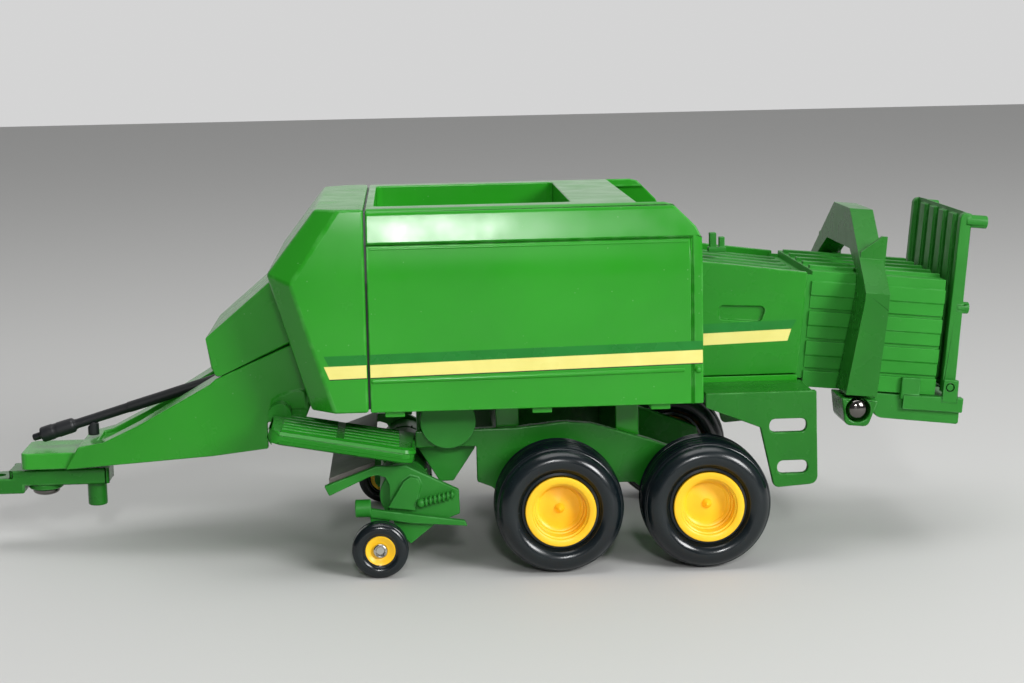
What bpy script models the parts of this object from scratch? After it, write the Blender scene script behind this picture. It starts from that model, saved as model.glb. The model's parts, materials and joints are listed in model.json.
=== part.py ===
"""A 1:32 die-cast square baler, towed by its drawbar at +X, with its left side at +Y.

Lengthwise places are stations, measured forwards from the front wheels' axle. The
finished model is centred on its own length, so every station is moved by CENTRE.
"""
import math

import bmesh
import bpy
from mathutils import Matrix, Vector

MM = 0.001
GAP = 0.3 * MM  # between pieces that touch on the real toy
PIN_PLAY = 0.3 * MM  # round every turning pin

FRONT_TIP = 153 * MM  # the drawbar's eye end

# Main wheels, on two through axles
AXLE_SPACING = 37.6 * MM
WHEEL_RADIUS = 16.5 * MM
TYRE_WIDTH = 18 * MM
TRACK_HALF = 37 * MM
RIM_RADIUS = 9.0 * MM
RIM_DEPTH = 4.4 * MM  # from the lip to the dished floor
RIM_WEB = 3.2 * MM  # through the dished floor
RIM_LIP = 0.84 * TYRE_WIDTH / 2
HUB_RADIUS = 3.2 * MM
AXLE_RADIUS = 1.4 * MM
WHEEL_STEPS = 24

# Hood: front cap, main hood and nose shield
WALL = 1.6 * MM
HOOD_HALF = 43 * MM
CREASE_Z = 75.5 * MM
BAND_Z = 85 * MM
BAND_HALF = 41.6 * MM
ROOF_Z = 93.5 * MM
ROOF_HALF = 39.6 * MM
HOOD_BASE_Z = 42.8 * MM
HOOD_FRONT = 47.0 * MM
HOOD_REAR = -36.7 * MM
ROOF_REAR = -21 * MM
SEAM = 0.5 * MM
WELL_FRONT = 45 * MM
WELL_REAR = -4.8 * MM
WELL_HALF = 32 * MM
WELL_FLOOR_Z = 81 * MM
CAP_ROOF_FRONT = 59.7 * MM
CAP_BROW = (72.1 * MM, 77.6 * MM)
CAP_FOOT = 61.9 * MM
CAP_CORNER = 6 * MM  # how far back and out the corner facets run
NOSE_HALF = 20.4 * MM
NOSE_TIP = (89.6 * MM, 59.4 * MM)
NOSE_CHIN = (87 * MM, 48.9 * MM)
NOSE_WALL = 1.5 * MM

# Tongue and hitch
TONGUE_FRONT = 129 * MM
TONGUE_FRONT_HALF = 9.6 * MM
TONGUE_FOLD = 89 * MM
TONGUE_HALF = 20.4 * MM
TONGUE_WALL = 1.8 * MM
HITCH_HALF = 8.8 * MM
HITCH_TIP = 141 * MM
HITCH_LOW_Z = 23.5 * MM
HITCH_TOP_Z = 27.9 * MM
TROUGH_HALF = 6.5 * MM
DRAWBAR_HALF = 5.2 * MM
DRAWBAR_TOP_Z = 22.6 * MM
DRAWBAR_THICK = 4.2 * MM
DRAWBAR_REAR = 118.4 * MM
DRAWBAR_STEP = 2.1 * MM
RIVET_X = 136 * MM
RIVET_RADIUS = 1.9 * MM
EYE_RADIUS = 1.8 * MM
PTO_RADIUS = 1.5 * MM

# Step, one on each side
STEP_FRONT = 72.5 * MM
STEP_REAR = 36.2 * MM
STEP_FRONT_Z = 39.6 * MM
STEP_REAR_Z = 32.9 * MM
STEP_THICK = 3.3 * MM
STEP_OUTER = 44 * MM

# Chassis
BASE_HALF = 24 * MM
BASE_TOP_Z = 42.2 * MM
BASE_LOW_Z = 40.2 * MM
BASE_FRONT = 34 * MM
BASE_REAR = -62 * MM
NECK_FRONT = 60 * MM
NECK_HALF = 19.8 * MM
BEAM_THICK = 3 * MM

# Rear housing, behind the hood
PANEL_HALF = 26.4 * MM
PANEL_THICK = 2 * MM
PANEL_FRONT = -31 * MM
PANEL_BASE_Z = 46.8 * MM
PANEL_TOP_FRONT_Z = 77.8 * MM
PANEL_TOP_REAR_Z = 73.2 * MM
PANEL_REAR_TOP = -66.4 * MM
PANEL_REAR_BASE = -63.7 * MM
DECK_DROP = 2.3 * MM  # below the rear panels' top edge
DECK_THICK = 1.8 * MM
DECK_RIBS = 6
LADDER_OUTER = 43 * MM
LADDER_THICK = 2 * MM
SHELF_Z = 45.2 * MM
SHELF_THICK = 1.6 * MM

# Bale chamber, yoke and chute share one tilt, tail down
TAIL_TILT = math.radians(5.5)
TAIL_ORIGIN = Vector((-66 * MM, 0, 58 * MM))
CHAMBER_HALF = 25 * MM
CHAMBER_LENGTH = 36.0 * MM
CHAMBER_LOW = -15 * MM
CHAMBER_TOP = 15.4 * MM
CHAMBER_WALL = 2 * MM
BOARD_PITCH = 7.85 * MM
BOARD_GROOVE = 0.8 * MM
YOKE_FRONT = -12 * MM
YOKE_DEPTH = 6.3 * MM
YOKE_HALF = 37.3 * MM
YOKE_TOP = 31.3 * MM
YOKE_SHOULDER = 12.2 * MM
YOKE_CROWN_HALF = 9.8 * MM
YOKE_LUG_TOP = 25.8 * MM
YOKE_LUG_Y = 25 * MM
CHUTE_HALF = CHAMBER_HALF + 0.2 * MM
CHUTE_FRONT = -37.4 * MM
CHUTE_TOP = 33.2 * MM
CHUTE_HINGE = (-39.4 * MM, -12.4 * MM)
CHUTE_RIBS = 4
CHUTE_RIB_HALF = 2.5 * MM
CHUTE_KNOB = (1.6 * MM, 8.5 * MM)  # radius, height
CHUTE_KNOB_LENGTH = 2.2 * MM
CHUTE_DEPTH = 3.0 * MM
CHUTE_PEG = 4.6 * MM
CHUTE_PEG_RADIUS = 1.7 * MM
CHUTE_PEG_DROP = 2 * MM
SILL_LOW = -22.3 * MM
SILL_TOP = -15.4 * MM

# The chute's pegs are the rearmost points, and the origin is midway along the toy
PEG_END = CHUTE_FRONT - CHUTE_DEPTH - CHUTE_PEG
PEG_TOP = CHUTE_TOP - CHUTE_PEG_DROP + CHUTE_PEG_RADIUS
REAR_TIP = TAIL_ORIGIN.x + PEG_END * math.cos(TAIL_TILT) - PEG_TOP * math.sin(TAIL_TILT)
CENTRE = -(FRONT_TIP + REAR_TIP) / 2

# Pickup
PICKUP_PIVOT = (27 * MM, 28.6 * MM)
PICKUP_HALF = 36 * MM
PICKUP_PLATE = 2 * MM
REEL_RADIUS = 6.6 * MM
REEL_CENTRE = (39 * MM, 19.4 * MM)
REEL_BANDS = 6
GAUGE_RADIUS = 7.3 * MM
GAUGE_WIDTH = 5 * MM
GAUGE_X = 45.7 * MM
GAUGE_Y = 41 * MM
GAUGE_RIM = 3.9 * MM
GAUGE_PIN = 0.95 * MM
GAUGE_STEPS = 18

GREEN = (0.030, 0.270, 0.030)
DARK_GREEN = (0.022, 0.200, 0.032)
YELLOW = (0.850, 0.480, 0.020)
BLACK = (0.012, 0.013, 0.015)
STEEL = (0.600, 0.600, 0.580)
GREY = (0.200, 0.200, 0.190)


# ---------------------------------------------------------------- scene helpers


def clear_scene():
    for found in list(bpy.data.objects):
        bpy.data.objects.remove(found, do_unlink=True)


def new_collection(name):
    made = bpy.data.collections.new(name)
    bpy.context.scene.collection.children.link(made)
    return made


def finish(name, colour, roughness, metallic=0.0):
    made = bpy.data.materials.new(name)
    made.use_nodes = True
    shader = made.node_tree.nodes["Principled BSDF"]
    shader.inputs["Base Color"].default_value = (*colour, 1)
    shader.inputs["Roughness"].default_value = roughness
    shader.inputs["Metallic"].default_value = metallic
    return made


clear_scene()
BALER = new_collection("square_baler")
CUTTERS = new_collection("cutters")
PAINT = finish("green_paint", GREEN, 0.22)
GREEN_PLASTIC = finish("bright_green_plastic", GREEN, 0.26)
CASTING = finish("green_plastic", DARK_GREEN, 0.42)
RIM_YELLOW = finish("yellow_plastic", YELLOW, 0.35)
TYRE = finish("tyre_rubber", BLACK, 0.55)
BLACK_PLASTIC = finish("black_plastic", BLACK, 0.45)
BRIGHT = finish("bright_steel", STEEL, 0.25, 1.0)
GUARD_GREY = finish("grey_plastic", GREY, 0.5)


def pivot(name, x, y, z):
    """An empty on a joint's axis, for the pieces that move with it."""
    made = bpy.data.objects.new(name, None)
    made.location = (x + CENTRE, y, z)
    made.empty_display_size = 4 * MM
    BALER.objects.link(made)
    return made


def piece(name, mesh, material, parent=None, smooth=30):
    """Names a mesh, already in its place, as one solid of the toy."""
    mesh.name = name
    mesh.materials.clear()
    mesh.materials.append(material)
    mesh.shade_smooth()
    mesh.set_sharp_from_angle(angle=math.radians(smooth))
    made = bpy.data.objects.new(name, mesh)
    BALER.objects.link(made)
    if parent:
        made.parent = parent
        made.matrix_parent_inverse = Matrix.Translation(-parent.location)
    return made


def combine(target, mesh, operation, solver="EXACT"):
    """Cuts a mesh out of a piece, joins it on, or keeps what both hold.

    Pieces joined from many blocks in one line use MANIFOLD, which closes where EXACT doesn't.
    """
    tool = bpy.data.objects.new(f"{target.name}_{operation.lower()}", mesh)
    tool.hide_render = True
    tool.display_type = "WIRE"
    CUTTERS.objects.link(tool)
    change = target.modifiers.new(operation.lower(), "BOOLEAN")
    change.operation = operation
    change.solver = solver
    change.object = tool


def common(mesh, other):
    """What two meshes share, as a mesh of its own."""
    base = bpy.data.objects.new("shared", mesh)
    CUTTERS.objects.link(base)
    combine(base, other, "INTERSECT")
    shared = bpy.data.meshes.new_from_object(evaluated(base))
    bpy.data.objects.remove(base)
    return shared


def evaluated(thing):
    return thing.evaluated_get(bpy.context.evaluated_depsgraph_get())


def cut(target, mesh, solver="EXACT"):
    combine(target, mesh, "DIFFERENCE", solver)


def join(target, mesh, solver="EXACT"):
    combine(target, mesh, "UNION", solver)


def bevel(target, width, segments=2):
    edge = target.modifiers.new("bevel", "BEVEL")
    edge.width = width
    edge.segments = segments
    edge.limit_method = "ANGLE"
    edge.angle_limit = math.radians(40)


# ---------------------------------------------------------------- shape helpers


def mesh_of(shape, name="shape"):
    mesh = bpy.data.meshes.new(name)
    shape.to_mesh(mesh)
    shape.free()
    return mesh


def box(x, y, z):
    """A block between two stations, two sides and two heights."""
    shape = bmesh.new()
    size = Vector((x[1] - x[0], y[1] - y[0], z[1] - z[0]))
    middle = Vector((x[0] + x[1], y[0] + y[1], z[0] + z[1])) / 2
    place = Matrix.Translation(middle + Vector((CENTRE, 0, 0))) @ Matrix.Diagonal((*size, 1))
    bmesh.ops.create_cube(shape, size=1, matrix=place)
    return mesh_of(shape)


def rod(axis, centre, radius, low, high, steps=20, end_radius=None):
    """A cylinder or cone along X, Y or Z; centre gives its two other coordinates in order."""
    turn = {"x": Matrix.Rotation(math.radians(90), 4, "Y"),
            "y": Matrix.Rotation(math.radians(-90), 4, "X"),
            "z": Matrix.Identity(4)}[axis]
    middle = (low + high) / 2
    place = {"x": (middle, *centre), "y": (centre[0], middle, centre[1]),
             "z": (*centre, middle)}[axis]
    shape = bmesh.new()
    bmesh.ops.create_cone(
        shape, cap_ends=True, segments=steps, depth=high - low, radius1=radius,
        radius2=radius if end_radius is None else end_radius,
        matrix=Matrix.Translation(Vector(place) + Vector((CENTRE, 0, 0))) @ turn,
    )
    return mesh_of(shape)


def hull(points):
    """The solid stretched over a few corner points."""
    shape = bmesh.new()
    for x, y, z in points:
        shape.verts.new((x + CENTRE, y, z))
    found = bmesh.ops.convex_hull(shape, input=shape.verts)
    loose = [part for part in found["geom_interior"] if isinstance(part, bmesh.types.BMVert)]
    bmesh.ops.delete(shape, geom=loose, context="VERTS")
    bmesh.ops.recalc_face_normals(shape, faces=shape.faces)
    bmesh.ops.dissolve_limit(
        shape, angle_limit=math.radians(1), verts=shape.verts, edges=shape.edges
    )
    return mesh_of(shape)


TURNS = {
    "x": Matrix(((0, 0, 1, 0), (1, 0, 0, 0), (0, 1, 0, 0), (0, 0, 0, 1))),
    "y": Matrix(((1, 0, 0, 0), (0, 0, -1, 0), (0, 1, 0, 0), (0, 0, 0, 1))),
    "z": Matrix.Identity(4),
}


def plate(across, low, high, *outlines):
    """Flat outlines, the later ones holes, extruded from low to high across an axis.

    Points are (Y, Z) across X, (X, Z) across Y and (X, Y) across Z. The curve is drawn in
    millimetres and then brought to metres, because a curve's fill joins close points.
    """
    flat = bpy.data.curves.new("outline", "CURVE")
    flat.dimensions = "2D"
    flat.fill_mode = "BOTH"
    flat.extrude = (high - low) / 2 / MM
    for outline in outlines:
        line = flat.splines.new("POLY")
        line.points.add(len(outline) - 1)
        for point, (u, v) in zip(line.points, outline):
            point.co = (u / MM, v / MM, 0, 1)
        line.use_cyclic_u = True
    holder = bpy.data.objects.new("outline", flat)
    CUTTERS.objects.link(holder)
    mesh = bpy.data.meshes.new_from_object(evaluated(holder))
    bpy.data.objects.remove(holder)
    middle = (low + high) / 2
    shift = {"x": (middle, 0, 0), "y": (0, middle, 0), "z": (0, 0, middle)}[across]
    shape = bmesh.new()
    shape.from_mesh(mesh)
    bmesh.ops.remove_doubles(shape, verts=shape.verts, dist=1e-3)
    place = Matrix.Translation(Vector(shift) + Vector((CENTRE, 0, 0)))
    bmesh.ops.transform(
        shape, verts=shape.verts, matrix=place @ TURNS[across] @ Matrix.Scale(MM, 4),
    )
    bmesh.ops.recalc_face_normals(shape, faces=shape.faces)
    shape.to_mesh(mesh)
    shape.free()
    return mesh


def rounded(outline, radius, steps=3):
    """The outline with each corner turned into an arc; radius is one value or one a corner."""
    made = []
    count = len(outline)
    radii = radius if isinstance(radius, (list, tuple)) else [radius] * count
    for index, corner in enumerate(outline):
        if radii[index] <= 0:
            made.append(corner)
            continue
        here = Vector(corner)
        before = (Vector(outline[index - 1]) - here).normalized()
        after = (Vector(outline[(index + 1) % count]) - here).normalized()
        half = math.acos(max(-1, min(1, before.dot(after)))) / 2
        reach = radii[index] / math.tan(half)
        centre = here + (before + after).normalized() * (radii[index] / math.sin(half))
        start = here + before * reach - centre
        sweep = start.angle_signed(here + after * reach - centre)
        for step in range(steps + 1):
            turn = Matrix.Rotation(-sweep * step / steps, 2)
            point = centre + turn @ start
            made.append((point.x, point.y))
    return made


def turned(name, profile, material, centre, side, parent, steps):
    """A piece turned about its own Z, then laid with Z pointing out at +Y or -Y."""
    mesh = bpy.data.meshes.new(name)
    closed = profile[0][0] > 0
    edges = [(i, i + 1) for i in range(len(profile) - 1)]
    if closed:
        edges.append((len(profile) - 1, 0))
    mesh.from_pydata([(radius, 0, height) for radius, height in profile], edges, [])
    mesh.materials.append(material)
    made = bpy.data.objects.new(name, mesh)
    BALER.objects.link(made)
    spin = made.modifiers.new("screw", "SCREW")
    spin.steps = steps
    spin.render_steps = steps
    spin.use_merge_vertices = True
    spin.merge_threshold = 1e-6
    spin.use_smooth_shade = True
    made.rotation_euler = (-side * math.pi / 2, 0, 0)
    made.location = (centre[0] + CENTRE, centre[1], centre[2])
    if parent:
        made.parent = parent
        made.matrix_parent_inverse = Matrix.Translation(-parent.location)
    return made


def in_tail(mesh):
    """Moves a mesh from the tail's own tilted frame into its place."""
    place = Matrix.Translation(TAIL_ORIGIN + Vector((CENTRE, 0, 0)))
    tilt = Matrix.Rotation(-TAIL_TILT, 4, "Y")
    mesh.transform(place @ tilt @ Matrix.Translation((-CENTRE, 0, 0)))
    return mesh


def tail_point(forwards, up):
    """A point of the tail's frame as a station and a height."""
    x = TAIL_ORIGIN.x + forwards * math.cos(TAIL_TILT) - up * math.sin(TAIL_TILT)
    z = TAIL_ORIGIN.z + forwards * math.sin(TAIL_TILT) + up * math.cos(TAIL_TILT)
    return x, z


def on_slope(start, end, x):
    """The height at a station on the line between two points."""
    return start[1] + (end[1] - start[1]) * (x - start[0]) / (end[0] - start[0])


# ---------------------------------------------------------------- hood


def hood_section(inset, base):
    """The hood's cross-section, drawn in (Y, Z), with its walls moved in by inset."""
    half = [
        (HOOD_HALF - inset, base),
        (HOOD_HALF - inset, CREASE_Z),
        (BAND_HALF - inset, BAND_Z),
        (ROOF_HALF - inset, ROOF_Z - inset),
    ]
    corners = half + [(-y, z) for y, z in reversed(half)]
    radii = [0, 0, 0, 2.2 * MM, 2.2 * MM, 0, 0, 0]
    return rounded(corners, radii)


def cap_corners(inset):
    """The front cap's corner points, with its walls moved in by inset."""
    brow_x, brow_z = CAP_BROW
    half = [
        (CAP_ROOF_FRONT - inset, ROOF_HALF - 4 * MM - inset, ROOF_Z - inset),
        (CAP_ROOF_FRONT - CAP_CORNER - inset / 2, ROOF_HALF - inset, ROOF_Z - inset),
        (brow_x - 1.2 * inset, HOOD_HALF - CAP_CORNER - inset, brow_z),
        (brow_x - CAP_CORNER - inset / 2, HOOD_HALF - inset, CREASE_Z),
        (HOOD_FRONT + SEAM, ROOF_HALF - inset, ROOF_Z - inset),
        (HOOD_FRONT + SEAM, HOOD_HALF - inset, CREASE_Z),
        (HOOD_FRONT + SEAM, HOOD_HALF - inset, HOOD_BASE_Z),
        (CAP_FOOT - CAP_CORNER - inset / 2, HOOD_HALF - inset, HOOD_BASE_Z),
        (CAP_FOOT - inset, HOOD_HALF - CAP_CORNER - inset, HOOD_BASE_Z),
    ]
    return half


def both_sides(points):
    return points + [(x, -y, z) for x, y, z in points]


def shifted(points, forwards=0.0, up=0.0):
    return [(x + forwards, y, z + up) for x, y, z in points]


def make_front_cap():
    cap = piece("front_cap", hull(both_sides(cap_corners(0))), GREEN_PLASTIC)
    inner = both_sides(cap_corners(WALL))
    below = [point for point in inner if point[2] <= HOOD_BASE_Z]
    back = [point for point in inner if point[0] <= HOOD_FRONT + SEAM]
    cut(cap, hull(inner + shifted(below, up=-WALL) + shifted(back, forwards=-WALL)))


def make_main_hood():
    hood = piece(
        "main_hood", plate("x", HOOD_REAR, HOOD_FRONT, hood_section(0, HOOD_BASE_Z)), PAINT
    )
    inside = hood_section(WALL, HOOD_BASE_Z - WALL)
    cut(hood, plate("x", HOOD_REAR - WALL, HOOD_FRONT + WALL, inside))
    tray_half = WELL_HALF + WALL
    join(hood, box((WELL_REAR - WALL, HOOD_FRONT - GAP), (-tray_half, tray_half),
                   (WELL_FLOOR_Z - WALL, ROOF_Z - WALL / 2)))
    opening = rounded([(WELL_REAR, -WELL_HALF), (WELL_FRONT, -WELL_HALF),
                       (WELL_FRONT, WELL_HALF), (WELL_REAR, WELL_HALF)], 2 * MM)
    cut(hood, plate("z", WELL_FLOOR_Z, ROOF_Z + WALL, opening))
    roof_half = ROOF_HALF - WALL - 0.6 * MM
    cut(hood, box((HOOD_REAR - WALL, ROOF_REAR), (-roof_half, roof_half),
                  (BAND_Z, ROOF_Z + WALL)))
    slope = [(-27.5 * MM, ROOF_Z), (-29.7 * MM, ROOF_Z - 0.5 * MM), (-35.2 * MM, 87.5 * MM),
             (HOOD_REAR, 84.6 * MM), (HOOD_REAR - WALL, 84.6 * MM),
             (HOOD_REAR - WALL, ROOF_Z + WALL), (-27.5 * MM, ROOF_Z + WALL)]
    cut(hood, plate("y", -HOOD_HALF - WALL, HOOD_HALF + WALL, slope))


def nose_outline(inset):
    """The nose shield's side view; its back edge lies along the cap's front face."""
    brow_x, brow_z = CAP_BROW
    top = (brow_x + GAP - 3.0 * MM * (brow_x - CAP_FOOT) / (brow_z - HOOD_BASE_Z),
           brow_z - 3.0 * MM)
    low = 58 * MM
    back = on_front_face(low) + GAP
    return [(top[0], top[1] - inset * 1.4), (NOSE_TIP[0] - inset, NOSE_TIP[1] - inset * 0.6),
            (NOSE_TIP[0] - 1.2 * MM - inset, 51.5 * MM), (NOSE_CHIN[0] - inset, NOSE_CHIN[1]),
            (back, low)]


def on_front_face(z):
    """The station of the cap's lower front face at a height."""
    brow_x, brow_z = CAP_BROW
    return CAP_FOOT + (brow_x - CAP_FOOT) * (z - HOOD_BASE_Z) / (brow_z - HOOD_BASE_Z)


def make_nose_shield():
    radii = [0, 1.0 * MM, 0, 1.2 * MM, 0]
    nose = piece(
        "nose_shield",
        plate("y", -NOSE_HALF, NOSE_HALF, rounded(nose_outline(0), radii)), GREEN_PLASTIC,
    )
    inner = nose_outline(NOSE_WALL)
    chin, back = inner[3], inner[4]
    inner[3] = (chin[0], chin[1] - 3 * MM)
    inner[4] = (back[0] - 3 * MM, back[1] - 3 * MM)
    inner[0] = (inner[0][0] - 3 * MM, inner[0][1] + 2 * MM)
    inner_half = NOSE_HALF - NOSE_WALL
    cut(nose, plate("y", -inner_half, inner_half, inner))


# ---------------------------------------------------------------- tongue and hitch


def tongue_outline():
    """The tongue's side view, whose rear end lies along the cap's front face."""
    return [
        (TONGUE_FRONT, HITCH_LOW_Z), (125.3 * MM, 29.7 * MM), (118.4 * MM, 31.1 * MM),
        (108.8 * MM, 35.8 * MM), (TONGUE_FOLD, 47.2 * MM),
        (NOSE_CHIN[0] + 0.4 * MM, NOSE_CHIN[1] - GAP),
        (on_front_face(57.6 * MM) + GAP, 57.6 * MM),
        (on_front_face(HOOD_BASE_Z) + GAP, HOOD_BASE_Z), (64.5 * MM, 37.4 * MM),
        (74.4 * MM, 36.8 * MM), (74.4 * MM, 29.8 * MM), (TONGUE_FOLD, 28.2 * MM),
    ]


def tongue_plan(inset):
    """The tongue seen from above: parallel behind its fold, tapered ahead of it."""
    half = [
        (60 * MM, TONGUE_HALF - inset), (TONGUE_FOLD, TONGUE_HALF - inset),
        (TONGUE_FRONT + 1 * MM, TONGUE_FRONT_HALF - inset),
    ]
    return half + [(x, -y) for x, y in reversed(half)]


def make_tongue():
    tongue = piece(
        "tongue", plate("y", -TONGUE_HALF, TONGUE_HALF, tongue_outline()), GREEN_PLASTIC
    )
    combine(tongue, plate("z", 0, ROOF_Z, tongue_plan(0)), "INTERSECT")
    trough_floor = [(120.6 * MM, 40 * MM), (120.6 * MM, 29.4 * MM), (108 * MM, 31.2 * MM),
                    (TONGUE_FOLD, 40.4 * MM), (78 * MM, 43 * MM), (78 * MM, 70 * MM),
                    (TONGUE_FOLD, 70 * MM)]
    cut(tongue, plate("y", -TROUGH_HALF, TROUGH_HALF, trough_floor))
    hollow_floor = [(112 * MM, 20 * MM), (112 * MM, 28.5 * MM), (107 * MM, 29.4 * MM),
                    (TONGUE_FOLD, 38.2 * MM), (60 * MM, 42.2 * MM), (60 * MM, 20 * MM)]
    inner_half = TONGUE_HALF - TONGUE_WALL
    side_shape = plate("y", -inner_half, inner_half, hollow_floor)
    cut(tongue, common(side_shape, plate("z", 0, ROOF_Z, tongue_plan(TONGUE_WALL))))
    block = rounded([(124 * MM, -HITCH_HALF), (HITCH_TIP, -HITCH_HALF),
                     (HITCH_TIP, HITCH_HALF), (124 * MM, HITCH_HALF)], 2 * MM)
    join(tongue, plate("z", HITCH_LOW_Z, HITCH_TOP_Z, block))
    cut(tongue, rod("z", (RIVET_X, 0), RIVET_RADIUS + PIN_PLAY,
                    HITCH_LOW_Z - 1 * MM, HITCH_TOP_Z - 1.2 * MM))


def make_drawbar(swing):
    main = rounded([(DRAWBAR_REAR, -DRAWBAR_HALF), (145 * MM, -DRAWBAR_HALF),
                    (145 * MM, DRAWBAR_HALF), (DRAWBAR_REAR, DRAWBAR_HALF)], 1.2 * MM)
    low = DRAWBAR_TOP_Z - DRAWBAR_THICK
    drawbar = piece("drawbar", plate("z", low, DRAWBAR_TOP_Z, main), GREEN_PLASTIC, swing)
    lip = rounded([(141 * MM, -DRAWBAR_HALF), (FRONT_TIP, -DRAWBAR_HALF),
                   (FRONT_TIP, DRAWBAR_HALF), (141 * MM, DRAWBAR_HALF)],
                  [0, 4 * MM, 4 * MM, 0], 5)
    added = (
        plate("z", low - DRAWBAR_STEP, DRAWBAR_TOP_Z - DRAWBAR_STEP, lip),
        rod("z", (RIVET_X, 0), 4.6 * MM, low - 1.6 * MM, low + 1 * MM, 24),
        rod("z", (122.4 * MM, 0), 2.6 * MM, 11.7 * MM, low + 1 * MM, 20),
    )
    for mesh in added:
        join(drawbar, mesh, "MANIFOLD")
    for x, radius in ((RIVET_X, RIVET_RADIUS + PIN_PLAY), (FRONT_TIP - 4.6 * MM, EYE_RADIUS)):
        hole = rod("z", (x, 0), radius, low - 4 * MM, DRAWBAR_TOP_Z + 1 * MM)
        cut(drawbar, hole, "MANIFOLD")


def make_hitch_rivet():
    head_top = DRAWBAR_TOP_Z - DRAWBAR_THICK - 1.6 * MM - GAP
    rivet = piece(
        "hitch_rivet",
        rod("z", (RIVET_X, 0), RIVET_RADIUS, head_top - 0.5 * MM, HITCH_TOP_Z - 1.6 * MM), BRIGHT,
    )
    join(rivet, rod("z", (RIVET_X, 0), 2.2 * MM, head_top - 1.7 * MM, head_top, 20, 3.6 * MM))


def make_pto():
    """A black moulded drive shaft, held over the tongue by a post."""
    front = (136.5 * MM, 31.2 * MM)
    back = (84 * MM, 46.6 * MM)
    along = Vector((back[0] - front[0], 0, back[1] - front[1]))
    turn = along.to_track_quat("Z", "Y").to_matrix().to_4x4()

    def section(start, end, radius, end_radius, steps=16):
        shape = bmesh.new()
        middle = Vector((front[0] + CENTRE, 0, front[1])) + along * (start + end) / 2
        bmesh.ops.create_cone(
            shape, cap_ends=True, segments=steps, depth=along.length * (end - start),
            radius1=radius, radius2=end_radius, matrix=Matrix.Translation(middle) @ turn,
        )
        return mesh_of(shape)

    shaft = piece("pto_shaft", section(0.12, 1, 1.0 * MM, PTO_RADIUS), BLACK_PLASTIC)
    join(shaft, section(0, 0.17, 2.1 * MM, 1.9 * MM))
    join(shaft, section(-0.045, 0.02, 1.0 * MM, 1.0 * MM, 10))
    post = piece(
        "pto_support",
        rod("z", (122.6 * MM, 0), 1.5 * MM, 30.6 * MM + GAP, 34.8 * MM, 14), BLACK_PLASTIC,
    )
    cut(post, section(0, 1, 1.25 * MM + GAP, 1.7 * MM + GAP))


# ---------------------------------------------------------------- steps


def make_step(name, side):
    """A tread platform beside the tongue, sloping down to the rear."""
    inner = TONGUE_HALF + GAP
    slope = math.atan2(STEP_FRONT_Z - STEP_REAR_Z, STEP_FRONT - STEP_REAR)
    length = math.hypot(STEP_FRONT_Z - STEP_REAR_Z, STEP_FRONT - STEP_REAR)
    width = STEP_OUTER - inner
    outline = [(-length, 0), (0, 0), (0, width), (-length, width)]
    flat = plate("z", -STEP_THICK, 0, rounded(outline, [0, 0, 3 * MM, 3 * MM]))
    place = Matrix.Translation((STEP_FRONT + CENTRE, inner, STEP_FRONT_Z))
    flat.transform(place @ Matrix.Rotation(-slope, 4, "Y") @ Matrix.Translation((-CENTRE, 0, 0)))
    boss = rod("y", (70.8 * MM, 39.6 * MM), 3 * MM, inner, inner + 5 * MM)
    if side < 0:
        for mesh in (flat, boss):
            mesh.transform(Matrix.Diagonal((1, -1, 1, 1)))
            mesh.flip_normals()
    step = piece(name, flat, CASTING)
    join(step, boss)
    bevel(step, 0.9 * MM)


# ---------------------------------------------------------------- chassis


def make_base_plate():
    """The toy's floor: it carries the hood on three arms and the side beams on two blocks."""
    outline = [(BASE_REAR, BASE_HALF), (BASE_FRONT, BASE_HALF), (BASE_FRONT, NECK_HALF),
               (NECK_FRONT, NECK_HALF)]
    outline += [(x, -y) for x, y in reversed(outline)]
    base = piece("base_plate", plate("z", BASE_LOW_Z, BASE_TOP_Z, outline), PAINT)
    arm_half = HOOD_HALF - WALL - GAP
    for x in (41 * MM, 4 * MM, -26 * MM):
        join(base, box((x - 2.5 * MM, x + 2.5 * MM), (-arm_half, arm_half),
                       (BASE_TOP_Z - 1 * MM, BASE_TOP_Z + 3.2 * MM)))
    for x, low in ((-19.3 * MM, 22 * MM), (12 * MM, 30 * MM)):
        join(base, box((x - 3 * MM, x + 3 * MM), (-BASE_HALF, BASE_HALF),
                       (low, BASE_LOW_Z + 1 * MM)))


def make_side_beam(name, side):
    """Carries both axles; its ends hang down to them."""
    rear = -AXLE_SPACING
    outline = [
        (36 * MM, 30.2 * MM), (36 * MM, 34.6 * MM), (10 * MM, 34.8 * MM),
        (-2.5 * MM, 36 * MM), (-10 * MM, 35.2 * MM), (-25 * MM, 30.6 * MM),
        (rear - 7 * MM, 23 * MM), (rear - 9 * MM, 15 * MM), (rear - 5 * MM, 10.6 * MM),
        (rear + 5 * MM, 10.6 * MM), (rear + 17 * MM, 19.4 * MM), (-16.7 * MM, 19.4 * MM),
        (-6 * MM, 10.6 * MM), (6 * MM, 10.6 * MM), (16.6 * MM, 19.3 * MM),
        (20.3 * MM, 20.8 * MM), (20.3 * MM, 30.2 * MM),
    ]
    near = BASE_HALF + GAP
    low, high = sorted((side * near, side * (near + BEAM_THICK)))
    beam = piece(name, plate("y", low, high, outline), PAINT)
    for x in (0, rear):
        cut(beam, rod("y", (x, WHEEL_RADIUS), AXLE_RADIUS + PIN_PLAY,
                      low - 1 * MM, high + 1 * MM))


def make_pulley(name, side):
    """The half-disc of the flywheel guard, just under the hood."""
    near = BASE_HALF + BEAM_THICK + 2 * GAP
    low, high = sorted((side * near, side * (near + 2.4 * MM)))
    disc = piece(name, rod("y", (27.6 * MM, 37.6 * MM), 7.2 * MM, low, high, 32), CASTING)
    cut(disc, box((15 * MM, 40 * MM), (low - 1 * MM, high + 1 * MM), (41.6 * MM, 50 * MM)))


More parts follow.
